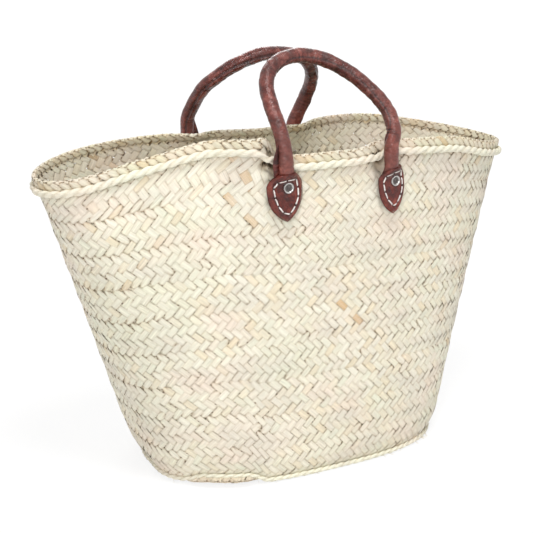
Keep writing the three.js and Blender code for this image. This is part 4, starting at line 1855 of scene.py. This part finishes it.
@dataclass
class Handle:
    """A rolled leather handle: a sleeve over a rope, flattened where it goes under its two tabs."""

    side: Side
    route: tuple[tuple[float, float, float], ...]
    seam: Seam
    seed: int
    leather: bpy.types.Material
    spare_edge: SpareEdge = SpareEdge()
    radius: float = 7.5
    leg_offset: float = 10.3
    split_rise: float = 4.3
    riser: float = 9
    tongue: float = 30
    tongue_half_width: float = 9.2
    tongue_half_depth: float = 1.2
    end_round: float = 1.2
    lump: float = 0.3
    lump_length: float = 26
    small_lump: float = 0.16
    small_lump_length: float = 13
    crease: float = 0.34
    crease_length: float = 5.2
    # Reach of the painted light towards both ends of the handle.
    lit_end_length: float = 85
    # Painted shade on the crown: its strength, middle and spread along the handle.
    dark: float = 0.14
    dark_middle: float = 0.58
    dark_spread: float = 0.16
    fine_steps: int = 2400
    steps: int = 460
    sides: int = 40

    def legs(self) -> tuple[TabFrame, TabFrame]:
        """The two tabs of this handle, left and right.

        Returns:
            Where the two tabs lie.
        """
        if self.side is Side.FRONT:
            return TABS[Leg.FRONT_LEFT], TABS[Leg.FRONT_RIGHT]
        return TABS[Leg.BACK_LEFT], TABS[Leg.BACK_RIGHT]

    def leg_path(self, tab: TabFrame) -> tuple[np.ndarray, np.ndarray]:
        """Middle line and flatness from the tongue's end to the leg's foot.

        Args:
            tab: The leg's tab.

        Returns:
            The line's points, and 0 where round to 1 where flat.
        """
        v = np.array([self.tongue, 24, 18, 12, 8, 5, 2, -1, -self.split_rise, -self.split_rise - self.riser])
        flat = ease(-7, 8, v)
        depth = self.radius * (1 - flat) + self.tongue_half_depth * flat
        lift = (tab.face - 0.3 + depth) * flat + self.leg_offset * (1 - flat)
        return tab.at(np.zeros_like(v), v, lift, straight=True), flat

    def line(self) -> tuple[np.ndarray, np.ndarray, np.ndarray, np.ndarray]:
        """The handle's middle line, its flatness, its travelled length and its two cross directions.

        Returns:
            Evenly spaced points, their flatness, the length up to each, and both sets of unit vectors.
        """
        left, right = self.legs()
        start, start_flat = self.leg_path(left)
        finish, finish_flat = self.leg_path(right)
        points = np.concatenate([start, np.array(self.route, float), finish[::-1]])
        flat = np.concatenate([start_flat, np.zeros(len(self.route)), finish_flat[::-1]])
        knots = np.concatenate([[0], np.cumsum(np.sqrt(np.linalg.norm(np.diff(points, axis=0), axis=1)))])
        fine = np.linspace(0, knots[-1], self.fine_steps)
        smooth = self.spline(knots, points, fine)
        walked = np.concatenate([[0], np.cumsum(np.linalg.norm(np.diff(smooth, axis=0), axis=1))])
        wanted = np.linspace(0, walked[-1], self.steps + 1)
        path = np.stack([np.interp(wanted, walked, smooth[:, k]) for k in range(3)], -1)
        flatness = np.interp(wanted, walked, np.interp(fine, knots, flat))
        tangent = unit(np.gradient(path, axis=0))
        first = left.directions()[1]
        sides = [unit(first - tangent[0] * np.dot(first, tangent[0]))]
        for here in tangent[1:]:
            sides.append(unit(sides[-1] - here * np.dot(sides[-1], here)))
        side = np.array(sides)
        last = -right.directions()[1]
        last = unit(last - tangent[-1] * np.dot(last, tangent[-1]))
        twist = math.atan2(np.dot(np.cross(side[-1], last), tangent[-1]), np.dot(side[-1], last))
        turn = ease(0.15, 0.85, np.linspace(0, 1, len(path)))[:, None] * twist
        other = np.cross(tangent, side)
        side, other = side * np.cos(turn) + other * np.sin(turn), other * np.cos(turn) - side * np.sin(turn)
        return path, flatness, wanted, np.stack([side, other])

    @staticmethod
    def spline(knots: np.ndarray, points: np.ndarray, wanted: np.ndarray) -> np.ndarray:
        """A smooth line through points, with knots spaced by the root of their distance.

        Args:
            knots: Knot of each point.
            points: The points.
            wanted: Knots of the wanted places.

        Returns:
            The wanted places.
        """
        slopes = np.gradient(points, knots, axis=0)
        at = np.clip(np.searchsorted(knots, wanted) - 1, 0, len(knots) - 2)
        width = knots[at + 1] - knots[at]
        s = ((wanted - knots[at]) / width)[:, None]
        width = width[:, None]
        h00, h10 = 2 * s**3 - 3 * s**2 + 1, s**3 - 2 * s**2 + s
        h01, h11 = -2 * s**3 + 3 * s**2, s**3 - s**2
        place = h00 * points[at] + h10 * width * slopes[at]
        return place + h01 * points[at + 1] + h11 * width * slopes[at + 1]

    def build(self) -> bpy.types.Object:
        """Builds the sleeve with its flattened ends.

        Returns:
            The handle's object, which is not blended across its hinge.
        """
        path, flatness, travelled, sides = self.line()
        name = f"{self.side.value}_handle_leather"
        mesh = Maker.grid(name, self.steps, self.sides)
        flat_grid = Maker.points(mesh)
        row = np.round(flat_grid[:, 0] * self.steps).astype(int)
        around = flat_grid[:, 1] * TAU
        s = travelled[row]
        length = travelled[-1]
        flat = flatness[row]
        curve = np.gradient(unit(np.gradient(path, axis=0)), axis=0) / (length / self.steps)
        bend = np.stack([(curve * side).sum(1) for side in sides], -1)[row]
        inward = bend[:, 0] * np.cos(around) + bend[:, 1] * np.sin(around)
        tube = 1 - flat
        way = s / self.lump_length + 0.35 * np.sin(around + s / 40)
        lumps = self.lump * ripple(self.seed, 4, way, (1.0, 2.3))
        way = s / self.small_lump_length + 0.5 * np.cos(around)
        lumps = lumps + self.small_lump * ripple(self.seed + 1, 4, way, (1.0, 2.0))
        creases = ripple(self.seed + 2, 3, s / self.crease_length, (1.0, 1.8))
        crease = (0.08 + np.clip(inward * 22, 0, 1)) * self.crease * creases
        seam = self.seam
        swing = seam.swing * ease(0.3, 0.45, s / length) * (1 - ease(0.78, 0.9, s / length))
        from_seam = (around - seam.angle - swing + 0.12 * np.sin(s / 17) + math.pi) % TAU - math.pi
        lap = np.exp(-((from_seam / 0.34) ** 2)) * (0.75 + 0.2 * np.sin(TAU * s / 23)) * (from_seam > 0)
        lap = lap + 0.75 * np.exp(-((from_seam / 0.1) ** 2)) * (from_seam <= 0)
        lap = seam.size * (lap - 0.3 * np.exp(-(((from_seam + 0.25) / 0.2) ** 2)))
        radius = self.radius + tube * (lumps + crease + lap)
        wide = radius * tube + self.tongue_half_width * flat
        deep = radius * tube + self.tongue_half_depth * flat
        ends = np.minimum(s, length - s)
        shut = np.sqrt(np.clip(ends / self.end_round, 0.0, 1))
        offset = sides[0][row] * (wide * shut * np.cos(around))[:, None]
        offset = offset + sides[1][row] * (deep * shut * np.sin(around))[:, None]
        worn_and_lit = np.clip(0.5 + 0.8 * lumps / self.lump + crease * 2, 0, 1) * tube * 0.6
        # Painted light: paler towards both ends of the handle, along its legs.
        worn_and_lit = worn_and_lit + 0.9 * np.exp(-((ends / self.lit_end_length) ** 2))
        # Painted shade in the creases' valleys, under the seam's lap and on the crown.
        shade = np.clip(-crease * 3, 0, 1)
        shade = shade + 0.85 * np.exp(-(((from_seam + 0.2) / 0.12 / seam.size) ** 2)) * tube
        shade = shade + self.dark * np.exp(-(((s / length - self.dark_middle) / self.dark_spread) ** 2))
        flap, flap_place, flap_hide, flap_shade = self.spare_edge.build(self.legs()[0])
        mesh = Maker.gather(name, [mesh, flap])
        Maker.shape(mesh, np.concatenate([path[row] + offset, flap_place]))
        hide = np.stack([s, around * self.radius, np.full_like(s, self.seed)], -1)
        Maker.note(mesh, "hide", np.concatenate([hide, flap_hide]))
        Maker.note(mesh, "worn_and_lit", np.concatenate([worn_and_lit, np.zeros_like(flap_shade)]))
        Maker.note(mesh, "deep", np.concatenate([shade, flap_shade]))
        Maker.weld(mesh, 1e-5)
        ends = (f"{tab.leg.value}_handle_end" for tab in self.legs())
        nodes = (f"{self.side.value}_handle_sleeve", *ends)
        return Maker.piece(name, mesh, self.leather, "handle_leather", nodes, body=None, sharp=60)


# Studio


@dataclass(frozen=True)
class Camera:
    """The photo's view, as fitted to the bag's outline."""

    azimuth: float = 28.781
    elevation: float = 16.684
    roll: float = -0.443
    distance: float = 1.681
    target: tuple[float, float, float] = (0.0, 0.0, 0.2125)
    lens: float = 104.58
    sensor: float = 36
    shift: tuple[float, float] = (-0.0296, -0.0264)

    def build(self) -> None:
        """Sets the camera up."""
        psi, rise, roll = (math.radians(v) for v in (self.azimuth, self.elevation, self.roll))
        right = Vector((math.cos(psi), -math.sin(psi), 0))
        ahead = Vector((math.sin(psi) * math.cos(rise), math.cos(psi) * math.cos(rise), -math.sin(rise)))
        up = right.cross(ahead)
        side = right * math.cos(roll) + up * math.sin(roll)
        top = side.cross(ahead)
        data = bpy.data.cameras.new("camera")
        data.lens = self.lens
        data.sensor_width = self.sensor
        data.shift_x, data.shift_y = self.shift
        camera = bpy.data.objects.new("camera", data)
        place = Vector(self.target) - ahead * self.distance
        camera.matrix_world = Matrix.Translation(place) @ Matrix((side, top, -ahead)).transposed().to_4x4()
        bpy.context.scene.collection.objects.link(camera)
        bpy.context.scene.camera = camera


@dataclass(frozen=True)
class Lamp:
    """One soft square lamp that faces the bag."""

    name: str
    place: tuple[float, float, float]
    size: float
    power: float
    aim: tuple[float, float, float] = (0, 0, 0.22)

    def build(self) -> None:
        """Hangs the lamp."""
        data = bpy.data.lights.new(self.name, "AREA")
        data.energy = self.power
        data.size = self.size
        lamp = bpy.data.objects.new(self.name, data)
        lamp.location = self.place
        lamp.rotation_euler = (Vector(self.aim) - lamp.location).to_track_quat("-Z", "Y").to_euler()
        bpy.context.scene.collection.objects.link(lamp)


@dataclass(frozen=True)
class Studio:
    """A white floor, a white surround and soft lamps."""

    floor_size: float = 30000
    floor_drop: float = 0.3
    floor_grey: float = 0.9
    floor_roughness: float = 0.9
    floor_specular: float = 0.1
    floor_white: float = 1.04
    near_glow: float = 0.8
    glow_reach: tuple[float, float] = (0.45, 1.1)
    covered: tuple[float, float, float] = (0.158, 0.106, 1.0)
    covered_edge: float = 0.9
    surround: float = 0.46
    lamps: tuple[Lamp, ...] = (
        Lamp("key", (-1.3, -1.6, 1.25), 0.6, 15),
        Lamp("fill", (0.9, -1.9, 0.9), 0.9, 4),
        Lamp("top", (-0.15, -0.8, 2.1), 0.6, 24),
        Lamp("rear", (0.7, 1.7, 1.3), 0.9, 14),
    )

    @staticmethod
    def seen_directly(tree: bpy.types.NodeTree) -> bpy.types.NodeSocket:
        """1 for rays from the camera and for those mirrored or bent by a piece, and 0 for all others.

        Args:
            tree: The node tree that needs the number.

        Returns:
            The new node's output.
        """
        path = tree.nodes.new("ShaderNodeLightPath")
        seen = path.outputs["Is Camera Ray"]
        for kind in ("Is Glossy Ray", "Is Transmission Ray"):
            either = tree.nodes.new("ShaderNodeMath")
            either.operation = "MAXIMUM"
            tree.links.new(seen, either.inputs[0])
            tree.links.new(path.outputs[kind], either.inputs[1])
            seen = either.outputs[0]
        return seen

    def floor(self) -> None:
        """A wide floor that shows white to the camera, keeps the bag's soft shadow and is dark under it."""
        mesh = Maker.grid("floor", 1, 1)
        flat = Maker.points(mesh)
        Maker.shape(mesh, (flat - (0.5, 0.5, 0)) * self.floor_size - (0, 0, self.floor_drop))
        sheet = NodeSheet("white_floor")
        lit = sheet.shader
        lit.inputs["Base Color"].default_value = (self.floor_grey, self.floor_grey, self.floor_grey, 1)
        lit.inputs["Roughness"].default_value = self.floor_roughness
        lit.inputs["Specular IOR Level"].default_value = self.floor_specular
        glow = sheet.add("ShaderNodeEmission")
        glow.inputs["Strength"].default_value = self.floor_white
        spot = sheet.spot()
        far = sheet.span(sheet.size(spot), *self.glow_reach, self.near_glow, 1.0)
        beneath = sheet.stretch(spot, tuple(1 / size for size in self.covered))
        uncovered = sheet.span(sheet.size(beneath), self.covered_edge, 1.0, 0.0, 1.0)
        share = sheet.sum("MULTIPLY", sheet.sum("MULTIPLY", self.seen_directly(sheet.tree), far), uncovered)
        mix = sheet.add("ShaderNodeMixShader")
        for socket, value in zip(mix.inputs, (share, lit.outputs[0], glow.outputs[0])):
            sheet.feed(socket, value)
        sheet.feed(sheet.tree.nodes["Material Output"].inputs["Surface"], mix.outputs[0])
        mesh.materials.append(sheet.material)
        floor = bpy.data.objects.new("floor", mesh)
        bpy.context.scene.collection.objects.link(floor)

    def build(self) -> None:
        """Sets the floor, the surround and the lamps."""
        self.floor()
        world = bpy.data.worlds.new("surround")
        bpy.context.scene.world = world
        world.use_nodes = True
        tree = world.node_tree
        dim = tree.nodes["Background"]
        dim.inputs["Color"].default_value = (1, 1, 1, 1)
        dim.inputs["Strength"].default_value = self.surround
        bright = tree.nodes.new("ShaderNodeBackground")
        bright.inputs["Color"].default_value = (1, 1, 1, 1)
        mix = tree.nodes.new("ShaderNodeMixShader")
        tree.links.new(self.seen_directly(tree), mix.inputs[0])
        tree.links.new(dim.outputs[0], mix.inputs[1])
        tree.links.new(bright.outputs[0], mix.inputs[2])
        tree.links.new(mix.outputs[0], tree.nodes["World Output"].inputs["Surface"])
        for lamp in self.lamps:
            lamp.build()
        bpy.context.scene.view_settings.view_transform = "Standard"


@dataclass(frozen=True)
class HandlePlan:
    """What differs between the two handles: millimetres in the route, metres at the hinge."""

    side: Side
    route: tuple[tuple[float, float, float], ...]
    seed: int
    seam: Seam
    hinge: tuple[float, float, float]
    upward: tuple[float, float, float]


HANDLES = (
    HandlePlan(
        Side.FRONT,
        route=(
            (-61.5, -118.5, 355), (-62.5, -111, 375), (-64, -97, 396), (-61, -81, 417),
            (-48, -70, 431), (-22, -63, 438), (4, -65, 435), (29, -76, 423),
            (52, -92, 402), (65, -106, 381), (66, -117, 362), (62.5, -120, 352),
        ),
        seed=5,
        seam=Seam(angle=0.5 * math.pi, swing=-0.67 * math.pi, size=1.0),
        hinge=(0.00043, -0.12817, 0.33299),
        upward=(0.0739, 0, 0.9973),
    ),
    HandlePlan(
        Side.BACK,
        route=(
            (-68, 87, 354), (-64.7, 76, 372), (-60.9, 63, 388), (-51.2, 49, 402),
            (-35.6, 37, 415), (-8, 26, 426), (20, 27, 424), (49, 37, 415),
            (67, 53, 399), (75.5, 69, 381), (76, 83, 362),
        ),
        seed=8,
        seam=Seam(angle=0.36 * math.pi, swing=0.0, size=1.7),
        hinge=(-0.00097, 0.10074, 0.32397),
        upward=(0.0287, 0, 0.9996),
    ),
)
ROPE_DIPS = (Dip(x=-75, width=9.5, drop=9.5), Dip(x=52, width=9, drop=3.0))
BRAID_TONES = (
    (0.0, "#ece5cb"),
    (0.25, "#f0ead4"),
    (0.5, "#eae0c8"),
    (0.72, "#e7e5ca"),
    (0.93, "#ece0c0"),
    (1.0, "#dfc79c"),
)
CORD_TONES = ((0.0, "#f1eed6"), (1.0, "#f5f2de"))


def dress_carried(names: tuple[str, ...], material: bpy.types.Material) -> None:
    """Gives CAD nodes that stay in view their finish.

    Args:
        names: The nodes' names.
        material: Their finish.
    """
    for name in names:
        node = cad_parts[name]
        if not node.material_slots:
            node.data.materials.append(material)
        for slot in node.material_slots:
            slot.material = material


def main() -> None:
    """Builds the camera, the bag's sub-assemblies and the studio, in that order."""
    logging.basicConfig(level=logging.INFO, format="%(name)s %(message)s")
    Camera().build()
    palm = PalmFinish("plaited_palm").make()
    braid = PalmFinish("rim_palm", tones=BRAID_TONES, hollow_share=0.68, edge_share=0.26).make()
    cord = PalmFinish(
        "twisted_palm",
        tones=CORD_TONES,
        hollow="#a98d5b",
        hollow_share=0.8,
        edge_share=0,
        streak=0.22,
        roughness=0.65,
    ).make()
    leather = LeatherFinish("waxed_leather").make()
    tab_leather = LeatherFinish(
        "tab_leather", dark="#380f09", body="#641f14", pale="#8a4233", roughness=0.17
    ).make()
    nickel = NickelFinish("nickel_plate").make()
    thread = ThreadFinish("white_thread").make()
    rope = ThreadFinish("core_rope", colour="#c9b994", shade="#8f7f5d", ribs=500, roughness=0.85).make()
    Basket(palm, braid).build()
    TwistedCord(
        "rim_rope",
        "rim_cord",
        share=1.0,
        rise=-4.3,
        clearance=5.0,
        half_depth=2.8,
        half_height=4.1,
        lay=24,
        finish=cord,
        seed=3,
        dips=ROPE_DIPS,
    ).build()
    TwistedCord(
        "foot_cord",
        "base_cord",
        share=0.0,
        rise=3.6,
        clearance=2.8,
        half_depth=2.4,
        half_height=2.6,
        lay=18,
        finish=cord,
        seed=4,
        steps_per_lay=18,
        sides=12,
        drawn_in=1.0,
        fibres=44,
    ).build()
    for plan in HANDLES:
        handle = Handle(plan.side, plan.route, plan.seam, plan.seed, leather).build()
        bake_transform(handle)
    for tab in TABS.values():
        HandleTab(tab, tab_leather, thread, nickel).build()
    dress_carried(("front_handle_core", "back_handle_core"), rope)
    Studio().build()


if __name__ == "__main__":
    main()
